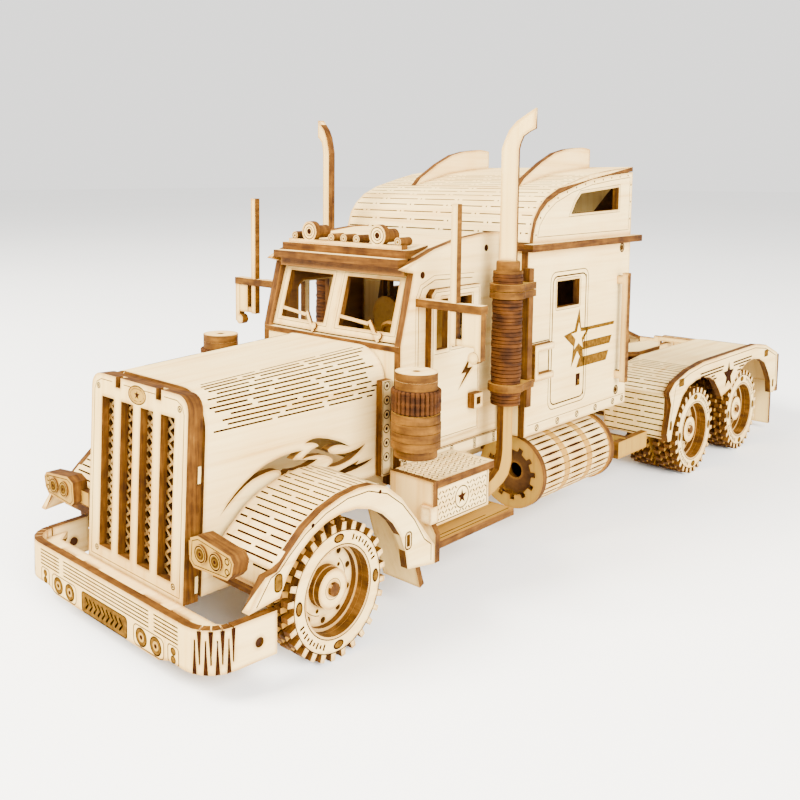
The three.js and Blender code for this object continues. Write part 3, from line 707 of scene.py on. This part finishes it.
def muffler(side):
    """A stack of plywood discs with two clamps to the sleeper."""
    node = f"muffler_{side}"
    top = corners(node)[1].z
    cx, cy = 32.9, -49.6
    rng = random.Random(4)
    shape = Shape()
    z = 42
    profile = [(3.4, z)]
    while z < 76.8:
        radius = 3.95 + rng.uniform(-0.12, 0.1)
        thick = rng.uniform(0.85, 1.15)
        profile += [(radius - 0.28, z + 0.05), (radius, z + 0.12), (radius, z + thick - 0.1),
                    (radius - 0.28, z + thick)]
        z += thick
    shape.turned((cx, cy), profile)
    collar = [(3.9, z), (3.9, z + 0.6), (3.1, z + 0.65), (3.1, top - 0.3), (2.9, top)]
    shape.turned((cx, cy), collar, finish="golden", caps="honey")
    arm = [polar(cx, cy, 4.7, math.radians(turn)) for turn in range(150, 391, 16)]
    clamp = arm + [(cx + 3.4, -41.05), (cx - 2.6, -41.05)]
    for z0, z1 in ((45.8, 47.8), (70.6, 72.4), (72.6, 74.4)):
        shape.plate(clamp, "z", z0, z1, face="honey", edge="golden")
    shape.box(cx + 0.4, cx + 2.6, -43.3, -41.05, 40.2, 78)
    flipped(shape, SIDES[side])
    shape.piece(f"muffler_stack_{side}", TRUCK, "brown_ply", [node])


def air_cleaner(side):
    """Stacked discs, a ring of knobbly rods and a cap, on a bracket to the cab."""
    node = f"air_cleaner_{side}"
    cx, cy = 35.8, -91.2
    shape = Shape()
    rng = random.Random(9)
    profile = [(4.9, 37.4), (5.1, 37.5), (5.1, 39.5)]
    z = 39.5
    while z < 47.8:
        radius = 5.9 - rng.uniform(0, 0.15)
        profile += [(radius - 0.2, z), (radius, z + 0.1), (radius, z + 1.95), (radius - 0.2, z + 2.05)]
        z += 2.1
    shape.turned((cx, cy), profile, finish="golden", caps="honey")
    shape.turned((cx, cy), [(5, z), (5, 53.5), (4.95, 53.6)], finish="dark", caps="dark")
    rod = [(0.3, 48.1), (0.52, 48.4), (0.46, 50), (0.56, 50.6), (0.46, 51.2), (0.52, 53.2), (0.3, 53.5)]
    for c, s in circle_steps(30):
        shape.turned((cx + 5.35 * c, cy + 5.35 * s), rod, 8)
    for z0, z1 in ((53.6, 55.5), (55.6, 57.5)):
        shape.plate(circle(cx, cy, 5, 36), "z", z0, z1, [circle(cx, cy, 0.9, 14)], edge="golden")
    shape.box(24.6, 31.5, -86.4, -84.1, 44, 46)
    shape.box(24.6, 27, -86.4, -84.1, 40, 50)
    flipped(shape, SIDES[side])
    shape.piece(f"air_cleaner_stack_{side}", TRUCK, "brown_ply", [node])


def tank_slats(shape, cx, cz, y0, y1):
    """Slats along the tank, burnt tan in two bands, with lens-shaped gaps between them."""
    count = 32
    cells = 3
    steps = 8
    bands = [y0 + (y1 - y0) * cell / cells for cell in range(cells + 1)]
    for slat in range(count):
        middle = 2 * math.pi * (slat + 0.5) / count
        for cell in range(cells):
            points = []
            tan = []
            for step in range(steps + 1):
                t = step / steps
                half = math.pi / count * (0.97 - 0.33 * math.sin(math.pi * t))
                y = bands[cell] + (bands[cell + 1] - bands[cell]) * t
                tan.append(min(t, 1 - t) < 0.13 and 0 < cell + t < cells)
                for reach, turn in ((8.9, -half), (9.8, -half), (9.9, 0), (9.8, half), (8.9, half)):
                    x, z = polar(cx, cz, reach, middle + turn)
                    points.append((x, y, z))
            for step in range(steps):
                quads = [(k, k + 1, k + 6, k + 5) for k in range(5 * step, 5 * step + 4)]
                burnt = tan[step] and tan[step + 1]
                shape.add(points, quads[1:3], "tan" if burnt else "face")
                shape.add(points, [quads[0], quads[3]], "edge")


def fuel_tank(side):
    """Two notched rims with a slatted skin bent round between them."""
    node = f"fuel_tank_{side}"
    low, high = corners(node)
    radius = (high.z - low.z) / 2
    cz = (high.z + low.z) / 2
    cx = max(abs(low.x), abs(high.x)) - radius
    shape = Shape()
    y0 = low.y + 1.2
    y1 = high.y - 1.2
    tank_slats(shape, cx, cz, y0, y1)
    # an inner skin behind the slats, in painted shade with near-black edges, for the shade inside the tank
    shape.plate(circle(cx, cz, 8.95, 48), "y", y0, y1, [circle(cx, cz, 7.4, 32)], "inner", "dark")
    teeth = [c for i in range(12) for c in notch(cx, cz, i / 12)]
    rim = circle(cx, cz, radius, 48)
    for start in (low.y, high.y - PLY):
        shape.plate(rim, "y", start, start + PLY, [teeth[::-1]], "honey", bore="edge")
    # discs inside the tank ends, in painted shade
    for start in (low.y + 2.2, high.y - 3.9):
        shape.plate(circle(cx, cz, 8.2, 36), "y", start, start + 1.7, [circle(cx, cz, 2.2, 18)], "inner")
    for y in (-30, -8):
        shape.box(RAIL, 20, y, y + 2, 21, 26.5)
    flipped(shape, SIDES[side])
    shape.piece(f"slatted_tank_{side}", TRUCK, replaces=[node])


def notch(cx, cz, turn):
    """One square tooth of the inner rim of a tank end."""
    points = []
    for part, reach in ((0, 7.9), (0.028, 7.9), (0.032, 6.6), (0.079, 6.6)):
        angle = 2 * math.pi * (turn + part)
        points.append(polar(cx, cz, reach, angle))
    return points


def step_box(side):
    """A storage box under a lid, with its end cheek and the tread below it."""
    base, under, top = 19.4, 29.1, 31
    front, back = -86.8, -64.4
    shape = Shape()
    shape.plate(rect(26, 39.2, front, back + 0.8), "z", under, top)
    shape.box(26, STEP_FACE, front, back, base, under, "face")
    cheek = [(26, top), (39.2, top), (39.2, 24.4), (37.6, 22.4), (40, 18.6), (40, 11.6), (30, 13.4),
             (26, base)]
    shape.plate(cheek, "y", front - 1.8, front, face="front")
    shape.box(36.4, 39.4, front - 3, front, 21, 25, "face")
    shape.plate(rect(26, 39.6, front, -54.6), "z", TREAD_TOP - 1.8, TREAD_TOP, face="tan")
    shape.box(26, 28, front, -60, TREAD_TOP, base)
    shape.box(RAIL, 27, -75, -73, 21, 27)
    flipped(shape, SIDES[side])
    shape.piece(f"storage_step_{side}", TRUCK, replaces=[f"step_box_{side}"])


def bumper_pegs():
    """Round peg ends that fill the holes in the bumper's two sides."""
    shape = Shape()
    for sign in SIDES.values():
        shape.plate(circle(-141, 10, 1.05, 16), "x", *span(sign, 34.3, 36), face="dark", edge="dark")
    shape.piece("bumper_pegs", TRUCK, "brown_ply")


def windscreen_header():
    """The inner board that closes the gap over the windscreen, in painted shade."""
    shape = Shape()
    shape.box(-22.4, 22.4, -80, -78.6, 77.6, 81.4, "inner")
    shape.piece("windscreen_header", TRUCK)


# ---- grille ----

def grille_lattice():
    """Crossed slats close behind the grille bars, with pale fronts and burnt sides, and a dark board behind
    them that is painted shade inside the hood.
    """
    node = "grille_lattice"
    low, high = corners(node)
    height = high.z - low.z
    lean = (high.y - low.y - 0.8) / height  # the grille leans forward at its foot
    half = high.x
    pitch = 2.72
    slope = 0.78
    thick = 0.42
    shape = Shape()
    for way in (1, -1):
        rows = int((height + 2 * half * slope) / pitch)
        for row in range(rows + 1):
            start = low.z - 2 * half * slope + row * pitch
            ends = []
            for z in (max(start, low.z), min(start + 2 * half * slope, high.z)):
                ends.append((way * (-half + (z - start) / slope), z))
            if ends[1][1] - ends[0][1] < 1:
                continue
            points = []
            for x, z in ends:
                for dz in (-thick, thick):
                    y = low.y + 0.1 + 0.03 * way + (z - low.z) * lean
                    points += [(x, y, z + dz), (x, y + 0.7, z + dz)]
            shape.add(points, [(0, 2, 6, 4)], "front")
            shape.add(points, [(0, 4, 5, 1), (2, 3, 7, 6), (1, 5, 7, 3)], "edge")
    # a dark board behind the slats: painted shade inside the hood
    back = [(low.y + 1.4 + (z - low.z) * lean, z) for z in (low.z, high.z)]
    core = back + [(y + 0.5, z) for y, z in reversed(back)]
    shape.plate(core, "x", -half, half, face="dark", edge="dark")
    shape.piece("grille_mesh", TRUCK, "brown_ply", [node])


# ---- engraved detail ----

def hood_marks(cut):
    cut.on("hood_shell")
    rng = random.Random(21)
    centre_x, centre_z = 11.5, 50.1
    for sign in (1, -1):
        for row in range(13):
            angle = math.radians(-9 + row * 7.6)
            toward = Vector((-sign * math.cos(angle), 0, -math.sin(angle)))
            for start, stop in dashes(-139.4 + rng.uniform(0, 6), -85.4 - rng.uniform(0, 5), rng):
                steps = max(2, int((stop - start) / 4))
                row_y = [start + (stop - start) * i / steps for i in range(steps + 1)]
                spots = [(sign * centre_x, y, centre_z) for y in row_y]
                cut.slit(spots, toward, 30, 0.42, 12)
    for side, _, face in FLANKS:
        cut.on(f"hood_trim_{side}", face)
        for z in [33 + 3.6 * i for i in range(6)]:
            cut.rivet(-86.15, z, 1.05)
        cut.loop(rounded(-87.6, -84.7, 28.6, 52, 0.7), 0.14)


def grille_marks(cut):
    cut.on("grille_front", "-y")
    border = [(-17.2, 14.2), (17.2, 14.2), (17.2, 53.2), (16.4, 55), (14.6, 55.9), (-14.6, 55.9),
              (-16.4, 55), (-17.2, 53.2)]
    cut.loop(border, 0.16)
    for u, v in ((15.6, 54.2), (14.9, 16)):
        for sign in (1, -1):
            cut.rivet(sign * u, v, 0.6)
    cut.patch(oval(0, 54.5, 3.3, 2), "honey")
    cut.loop(oval(0, 54.5, 3.3, 2), 0.3)
    cut.loop(oval(0, 54.5, 2.6, 1.4), 0.16)
    cut.patch(star_outline(0, 54.5, 1.1), rise=0.03)
    lean = math.tan(math.radians(2.8))
    for _, _, face in FLANKS:
        cut.on("grille_surround", face)
        for z0, z1 in ((38.2, 42), (14.6, 18.4)):
            tab = [(-142 + back + (z - 57.2) * lean, z) for back, z in rect(0.7, 1.65, z0, z1)]
            cut.patch(tab, "bare")
            cut.loop(tab, 0.22)


CORNER_MIDDLE = (28.8, -146.6)  # the middle of the bumper's round corner
CORNER_RADIUS = 7.4


def bumper_slots(cut, sign):
    """Wedge-shaped saw cuts round the bumper's corner, from its top and its bottom edge in turn."""
    cuts = [(6 + 18 * k, 15.1, 8.2) for k in range(4)]
    cuts += [(14 + 18 * k, 6.2, 13.2) for k in range(4)]
    for turn, mouth, end in cuts:
        angle = math.radians(turn)
        away = Vector((sign * math.cos(angle), -math.sin(angle), 0))
        foot = Vector((sign * CORNER_MIDDLE[0], CORNER_MIDDLE[1], 0)) + away * (CORNER_RADIUS + LIFT)
        run = [(foot + UP * (mouth + (end - mouth) * step / 4), away) for step in range(5)]
        cut.strip(run, 0.95, "line", 0.12)


def bumper_marks(cut):
    cut.on("bumper_skin", "-y")
    for sign in (1, -1):
        for u in (14.3, 19.4):
            cut.lamp(sign * u, 7.4, (1.9, 20, "amber"), (1.9, 20, 0.3), (1.05, 16, "honey", 0.02),
                     (1.05, 16, 0.2), (0.5, 10, "line", 0.04))
        cut.loop(rounded(*span(sign, 11.5, 22.2), 5.2, 9.7, 1.2), 0.22)
        cut.loop(rounded(*span(sign, 23.6, 27.2), 5.9, 9.8, 0.8), 0.22)
        for z in (6.9, 8.6):
            cut.lamp(sign * 25.4, z, (0.75, 12, "amber"), (0.75, 12, 0.22))
        bumper_slots(cut, sign)
    number_plate = rounded(-9, 9, 4.95, 9.7, 0.8)
    cut.patch(number_plate, "amber")
    cut.loop(number_plate, 0.26)
    for i in range(-4, 5):
        chevron = [(i * 1.7 - 0.7, 5.9), (i * 1.7 + 0.5, 7.3), (i * 1.7 - 0.7, 8.7)]
        cut.line(chevron, 0.5, "honey")
    for row in range(5):
        z = 10.6 + 0.85 * row
        for start, stop in ((-27.4, -18.8), (-17, 17), (18.8, 27)):
            cut.line([(start, z), (stop, z)], 0.32)


def headlight_marks(cut):
    for side, sign in SIDES.items():
        cut.on(f"headlight_{side}", "-y")
        outline = [(23.2, 25.2), (23.6, 29.1), (25.5, 29.9), (35.2, 28.8), (36, 28), (35.5, 25.9),
                   (34.3, 24.8), (24.2, 24.2)]
        cut.loop([(sign * u, v) for u, v in outline], 0.18)
        for u, v in ((26.7, 27.3), (31.4, 27.1)):
            cut.lamp(sign * u, v, (1.6, 20, 0.3), (1.25, 16, "amber"), (0.85, 14, 0.2),
                     (0.4, 10, "line", 0.03))
        for v in (25.9, 28):
            cut.ring(sign * 34.6, v, 0.6, 12, 0.26)


def walk(points, gap):
    """Points at even steps along a path."""
    out = []
    left = 0
    for (u0, v0), (u1, v1) in zip(points, points[1:]):
        length = math.hypot(u1 - u0, v1 - v0)
        at = left
        while at < length:
            t = at / length
            out.append((u0 + (u1 - u0) * t, v0 + (v1 - v0) * t))
            at += gap
        left = at - length
    return out


def cover_marks(cut, sign, spots, centre, x_low, x_high, width):
    """Transverse slits on a bent cover, reaching in from one side and then the other."""
    cy, cz = centre
    for index, (y, z) in enumerate(spots):
        toward = Vector((0, cy - y, cz - z)).normalized()
        reach = (x_high - x_low) * (0.62, 0.78, 0.5, 0.86)[index % 4]
        spans = [(x_low, x_low + reach), (x_low + reach + 1.2, x_high)]
        if index % 2:
            spans = [(x_high - reach, x_high), (x_low, x_high - reach - 1.2)]
        for a, b in spans:
            if b - a < 1.5:
                continue
            cut.slit([(sign * x, y, z) for x in (a, (a + b) / 2, b)], toward, 12, width)


def peg_end(cut, outline):
    """The scorched end of a tab that shows in its slot."""
    cut.patch(outline, "amber")
    cut.loop(outline, 0.3)


STAR_Y = 84.6  # where the star between the rear wheels stands


def rear_fender_stripes(cut):
    """Speed lines on both sides of the star: two long rows above two short ones."""
    rows = (((-25, -4.5), (4, 22)), ((-24.6, -5.7), (4.4, 21)),
            ((-18.7, -12.4), (9.8, 14.8)), ((-15.1, -10.8), (8, 11.9)))
    for row, stripes in enumerate(rows):
        z = 34.5 - 1.15 * row
        for start, stop in stripes:
            cut.line([(STAR_Y + start, z), (STAR_Y + stop, z)], 0.6)


def fender_marks(cut):
    front_path = [(-138.6, 24), (-136.6, 28.4), (-132, 31.8), (-126, 34.6), (-119, 36.2), (-112, 36.2),
                  (-105.6, 34), (-100, 30), (-95.4, 25)]
    border = [(-144.8, 19.6), (-141, 24.4), (-138.6, 25.2), (-135.9, 27.5), (-131.5, 30.7),
              (-125.7, 33.4), (-119, 35), (-112.4, 35), (-106.2, 32.9), (-100.9, 29.1), (-96.5, 24.3),
              (-92.8, 18.8), (-90.2, 16.8), (-90.2, 12.9)]
    rear_border = [(36.4, 19), (38.6, 26.8), (40.4, 33.4), (50.4, 36), (62.2, 37.2), (109.8, 37.2),
                   (120.6, 35.6), (132.6, 31.2), (133.2, 20.4)]
    bends = ([(36.4, 16.5), (36.4, 29.8), (40.5, 33.9), (50, 36.5), (58, 37.2)],
             [(112, 37.5), (121, 36.1), (133.4, 31.8)])
    for side, sign, face in FLANKS:
        cut.on(f"front_fender_{side}", face)
        cut.line(border, 0.26)
        for y, z in ((-129.4, 31.9), (-108.6, 33.9)):
            cut.disc(y, z, 0.5, 10)
        peg_end(cut, rounded(-140, -138, 21, 24.6, 0.9))
        cut.loop(rounded(-99.7, -97.5, 18, 22, 0.9), 0.34)
        cover_marks(cut, sign, walk(front_path, 1.75), (-118, 8), 21.9, 37.8, 0.46)
        cut.on(f"rear_fender_{side}", face)
        cut.line(rear_border, 0.26)
        rear_fender_stripes(cut)
        cut.patch(star_outline(STAR_Y, 30.6, 5.1, 0.42))
        for y, z in ((44.6, 34), (121.6, 33.6)):
            peg_end(cut, rounded(y - 1.9, y + 1.9, z - 1.2, z + 1.2, 0.3))
        for y, z in ((37.6, 20.6), (130.4, 20.4)):
            peg_end(cut, rounded(y - 0.7, y + 0.7, z - 1.5, z + 1.5, 0.6))
        for bend in bends:
            cover_marks(cut, sign, walk(bend, 1.9), (86, -60), 17.4, 37.9, 0.42)


def cab_marks(cut):
    border = [(-75.6, 33.4), (-77.1, 35.2), (-77.1, 71.8), (-75.7, 74.5), (-70.6, 76.3), (-54.4, 75.8)]
    for side, _, face in FLANKS:
        cut.on("cab_shell", face)
        cut.line(border, 0.22)
        cut.line([(-78.2, 34.6), (-78.2, 72.3), (-76.5, 75.4), (-70.8, 77.5), (-53.6, 77)], 0.12)
        for y in (-82.4, -73.4, -63, -52.7, -43.6):
            cut.rivet(y, 31.05, 0.62)
            cut.rivet(y, 29.65, 0.62)
        cut.line([(-83.8, 31.8), (-42.2, 31.8)], 0.2)
        for y, z in ((-48.3, 83.3), (-75.7, 77.9)):
            cut.disc(y, z, 0.95, 14)
        door = f"cab_door_{side}"
        leaf = Engraving(f"door_lines_{side}", f"door_{side}", [door])
        leaf.on(door, face)
        panel = [(-73.6, 37.4), (-71.4, 35.6), (-54.1, 35.6), (-54.1, 73.4), (-72.6, 73.4), (-73.6, 72.4)]
        leaf.loop(panel, 0.16)
        leaf.line([(-73, 57.6), (-66.8, 57.6), (-66.8, 72.4), (-70.8, 72.4)], 0.14)
        leaf.loop(rect(-66.2, -56.6, 57.9, 72.2), 0.14)
        leaf.finish_piece()


def screen_marks(cut):
    """Thin rectangular outlines on the windscreen frame, one each side."""
    cut.on("windscreen_frame", "-y")
    for sign in (1, -1):
        frame_line = [(sign * u, v) for u, v in ((1.5, 62.6), (21.6, 62.6), (21.6, 77.2), (1.5, 77.2))]
        cut.loop(frame_line, 0.12)


def roof_marks(cut):
    """Living-hinge rows across the bent part of the sleeper's roof."""
    cut.on("sleeper_roof")
    cy, cz = -8, 74
    low, high = corners("sleeper_roof")
    for row in range(17):
        angle = math.radians(162 - row * 4.3)
        toward = Vector((0, -math.cos(angle), -math.sin(angle)))
        at = low.x + 0.8
        spans = []
        while at < high.x - 1.5:
            length = 11 if spans else 4 + 2.5 * (row % 3)
            spans.append((at, min(high.x - 0.8, at + length)))
            at += length + 2.8
        for a, b in spans:
            cut.slit([(x, cy, cz) for x in (a, (a + b) / 2, b)], toward, 60, 0.34)
            if b + 1.6 < high.x:
                cut.slit([(x, cy, cz) for x in (b + 1.2, b + 1.6)], toward, 60, 0.5, 3.5)


def sleeper_marks(cut):
    """The side door, the star with its stripes, screws and seams on the sleeper's two sides."""
    stripes = ((-10.6, 8.9, 57.2, 58.1), (-12, 7.4, 51.6, 53.9), (-13.6, 5.6, 46.6, 49.4))
    arch = [(-37.4, 86.6), (-36.2, 90.4), (-33, 93.4), (-28.2, 96), (-18.9, 98.9), (-7.8, 100.8),
            (2.7, 101.9), (16.6, 102.9), (16.6, 86)]
    for side, _, face in FLANKS:
        cut.on("sleeper_shell", face)
        cut.loop(rounded(-29, -8, 36.4, 75.7, 2.6), 0.26)
        cut.loop(rounded(-27.7, -9.3, 37.7, 74.4, 2), 0.44)
        cut.loop(rounded(-26.2, -12.3, 64.7, 73.7, 0.9), 0.14)
        star = [(-12.7, 64.1), (-11.6, 58.3), (-6.6, 57.7), (-10.6, 53.8), (-9.6, 47.4), (-13.4, 51.6),
                (-16.7, 47.1), (-15.6, 53.2), (-21.2, 56.9), (-15.2, 57.8)]
        cut.patch(star, "amber")
        cut.loop(star, 0.16)
        cut.patch(star_outline(-12.8, 55.7, 4.3, 0.42), "bare", 0.02)
        cut.line([(-9.3, 74), (-9.3, 37.9)], 0.44)
        for start, stop, low, high in stripes:
            slant = (high - low) * 0.55
            stripe = [(start, low), (stop - slant, low), (stop, high), (start + slant, high)]
            cut.patch(stripe, "amber")
            cut.loop(stripe, 0.14)
        cut.patch(rect(-13.8, -11.4, 41.2, 44.8), "line")
        cut.patch(rect(-12.6, -11.8, 41.6, 43), "amber", 0.02)
        for y in (-34.5, -23.5, -12.5, -1.5, 9.5, 15.5):
            cut.screw(y, 32.6, 0.85)
        cut.line([(-39.6, 34), (16.4, 34)], 0.16)
        for y, z in ((12.2, 80.6), (11.2, 36)):
            cut.ring(y, z, 1.25, 18, 0.5, 0.4)
        low, high = corners(f"door_bracket_{side}")
        foot = rounded(low.y - 0.3, high.y + 0.3, low.z - 0.3, high.z + 0.3, 0.3)
        cut.loop(foot, 0.3)
        upper = [(-36.6, 86), (15.9, 86), (15.9, 102.2), (2.6, 101.1), (-7.9, 100), (-18.6, 98),
                 (-27.6, 95.2), (-32.4, 92.4), (-35.6, 89.2)]
        cut.loop(upper, 0.16)
        for y, z in walk(arch, 5.2):
            cut.disc(y, z, 0.32, 8)
        window = [(-20.4, 91.1), (9.8, 91.7), (9.8, 100), (-14.2, 98.4), (-17.4, 95.7)]
        cut.loop(window, 0.14)


def tread_plate(cut, first, columns, rows, step, clear):
    """Crossed dashes in rows on a flat face, but none where clear says so."""
    for row in range(rows):
        for column in range(columns):
            u = first[0] + step * (column + 0.5 * (row % 2))
            v = first[1] + step * row
            tilt = 0.33 if (row + column) % 2 else -0.33
            if not clear(u, v):
                cut.line([(u - 0.33, v - tilt), (u + 0.33, v + tilt)], 0.34, step=9)


def step_marks(cut):
    """Tread-plate pattern on the step boxes, and grooves along the treads."""
    middle = (-75.8, 24.3)
    for side, sign, face in FLANKS:
        cut.on(f"step_box_{side}", face)
        cut.loop(rounded(-86.3, -65.2, 20.1, 28.7, 0.4), 0.26)
        tread_plate(cut, (-85.3, 21), 16, 6, 1.25,
                    lambda u, v: math.hypot(u - middle[0], v - middle[1]) < 3.3)
        cut.ring(*middle, 2.7, 28, 0.3)
        cut.patch(star_outline(*middle, 2))
        low, high = span(sign, 27.2, 38.4)
        cut.on(f"step_box_{side}", "+z")
        tread_plate(cut, (low, -87), 9, 18, 1.25, lambda u, v: u > high or v > -64.6)
        for x, start, stop in ((37.2, -84.6, -64), (38.5, -86, -55.4), (33, -63.2, -55.4)):
            run = [(Vector((sign * x, y, TREAD_TOP + LIFT)), UP) for y in (start, stop)]
            cut.strip(run, 0.28, "line")


def tail_marks(cut):
    cut.on("tail_board", "+y")
    for sign in (1, -1):
        for u in (24, 30):
            cut.lamp(sign * u, 22, (1.4, 18, 0.2), (0.6, 12, "amber"), (2.7, 20, 0.18))
    cut.loop(rect(-35.4, 35.4, 15, 28.4), 0.18)
    cut.on("sleeper_shell", "+y")
    cut.loop(rect(-30.4, 30.4, 34, 82), 0.2)
    cut.loop(rounded(-9.6, 9.6, 54.4, 75.6, 1.6), 0.2)
    for x in range(-27, 28, 9):
        cut.rivet(x, 32.5, 0.6)
        cut.rivet(x, 100.4, 0.6)


def roof_light_marks(cut):
    cut.on("roof_light_bar", "-y")
    for x in (-12.4, 12.4):
        cut.lamp(x, 87.4, (2.1, 24, 0.24), (1.25, 18, 0.2), (0.8, 14, "line"))
    for x in (-18.7, -4.6, 0, 4.6, 18.7):
        cut.lamp(x, 86, (0.78, 14, 0.16), (0.35, 10, "amber"))


def engrave():
    body = frame["record"]["behaviour"]["bodies"][TRUCK]
    cut = Engraving("engraved_lines", TRUCK, body)
    for marks in (hood_marks, grille_marks, bumper_marks, headlight_marks, fender_marks, cab_marks,
                  screen_marks, roof_marks, sleeper_marks, step_marks, tail_marks, roof_light_marks):
        marks(cut)
    cut.finish_piece()


# ---- stage, lights and camera ----

def floor():
    mesh = bpy.data.meshes.new("floor")
    size = 6
    mesh.from_pydata([(x, y, 0) for x, y in rect(-size, size, -size, size)], [], [(0, 1, 2, 3)])
    obj = bpy.data.objects.new("floor", mesh)
    bpy.context.scene.collection.objects.link(obj)
    n = Nodes("floor_paper")
    speck = n.noise(n.stretched((3, 3, 3)), 1, 2)
    paper = n.ramp(speck, [(0.3, (0.93, 0.93, 0.925)), (0.7, (0.95, 0.95, 0.945))])
    mesh.materials.append(n.surface(paper, 0.9, 0))


def area_light(name, place, aim, size, power, colour):
    light = bpy.data.lights.new(name, "AREA")
    light.size = size
    light.energy = power
    light.color = colour
    obj = bpy.data.objects.new(name, light)
    obj.location = place
    obj.rotation_euler = (Vector(aim) - Vector(place)).to_track_quat("-Z", "Y").to_euler()
    bpy.context.scene.collection.objects.link(obj)


def lights():
    world = bpy.data.worlds.new("studio")
    world.use_nodes = True
    sky = world.node_tree.nodes["Background"]
    sky.inputs["Color"].default_value = (1, 0.985, 0.96, 1)
    sky.inputs["Strength"].default_value = 1.8
    bpy.context.scene.world = world
    area_light("key", (-0.35, -0.75, 0.75), (0, -0.02, 0.04), 0.5, 50, (1, 0.95, 0.84))
    area_light("side", (0.9, -0.35, 0.5), (0, 0, 0.04), 0.7, 52, (1, 0.975, 0.92))


def camera():
    """Three-quarter view from the front left, a little above the hood."""
    data = bpy.data.cameras.new("camera")
    obj = bpy.data.objects.new("camera", data)
    around = math.radians(45.962)
    down = math.radians(5.765)
    ahead = Vector((-math.sin(around) * math.cos(down), math.cos(around) * math.cos(down), -math.sin(down)))
    obj.location = (0.168024, -0.257627, 0.102713)
    obj.rotation_euler = ahead.to_track_quat("-Z", "Y").to_euler()
    data.sensor_width = 36
    data.lens = 41.465
    data.shift_x = 0.12843
    data.shift_y = -0.1642
    data.clip_start = 0.01
    bpy.context.scene.collection.objects.link(obj)
    bpy.context.scene.camera = obj


# ---- assembly ----

camera()
lights()
floor()
for cad_node in frame["nodes"]:
    dress(cad_node)
wheels()
windscreen_header()
bumper_pegs()
for one_side in SIDES:
    muffler(one_side)
    air_cleaner(one_side)
    fuel_tank(one_side)
    step_box(one_side)
grille_lattice()
engrave()
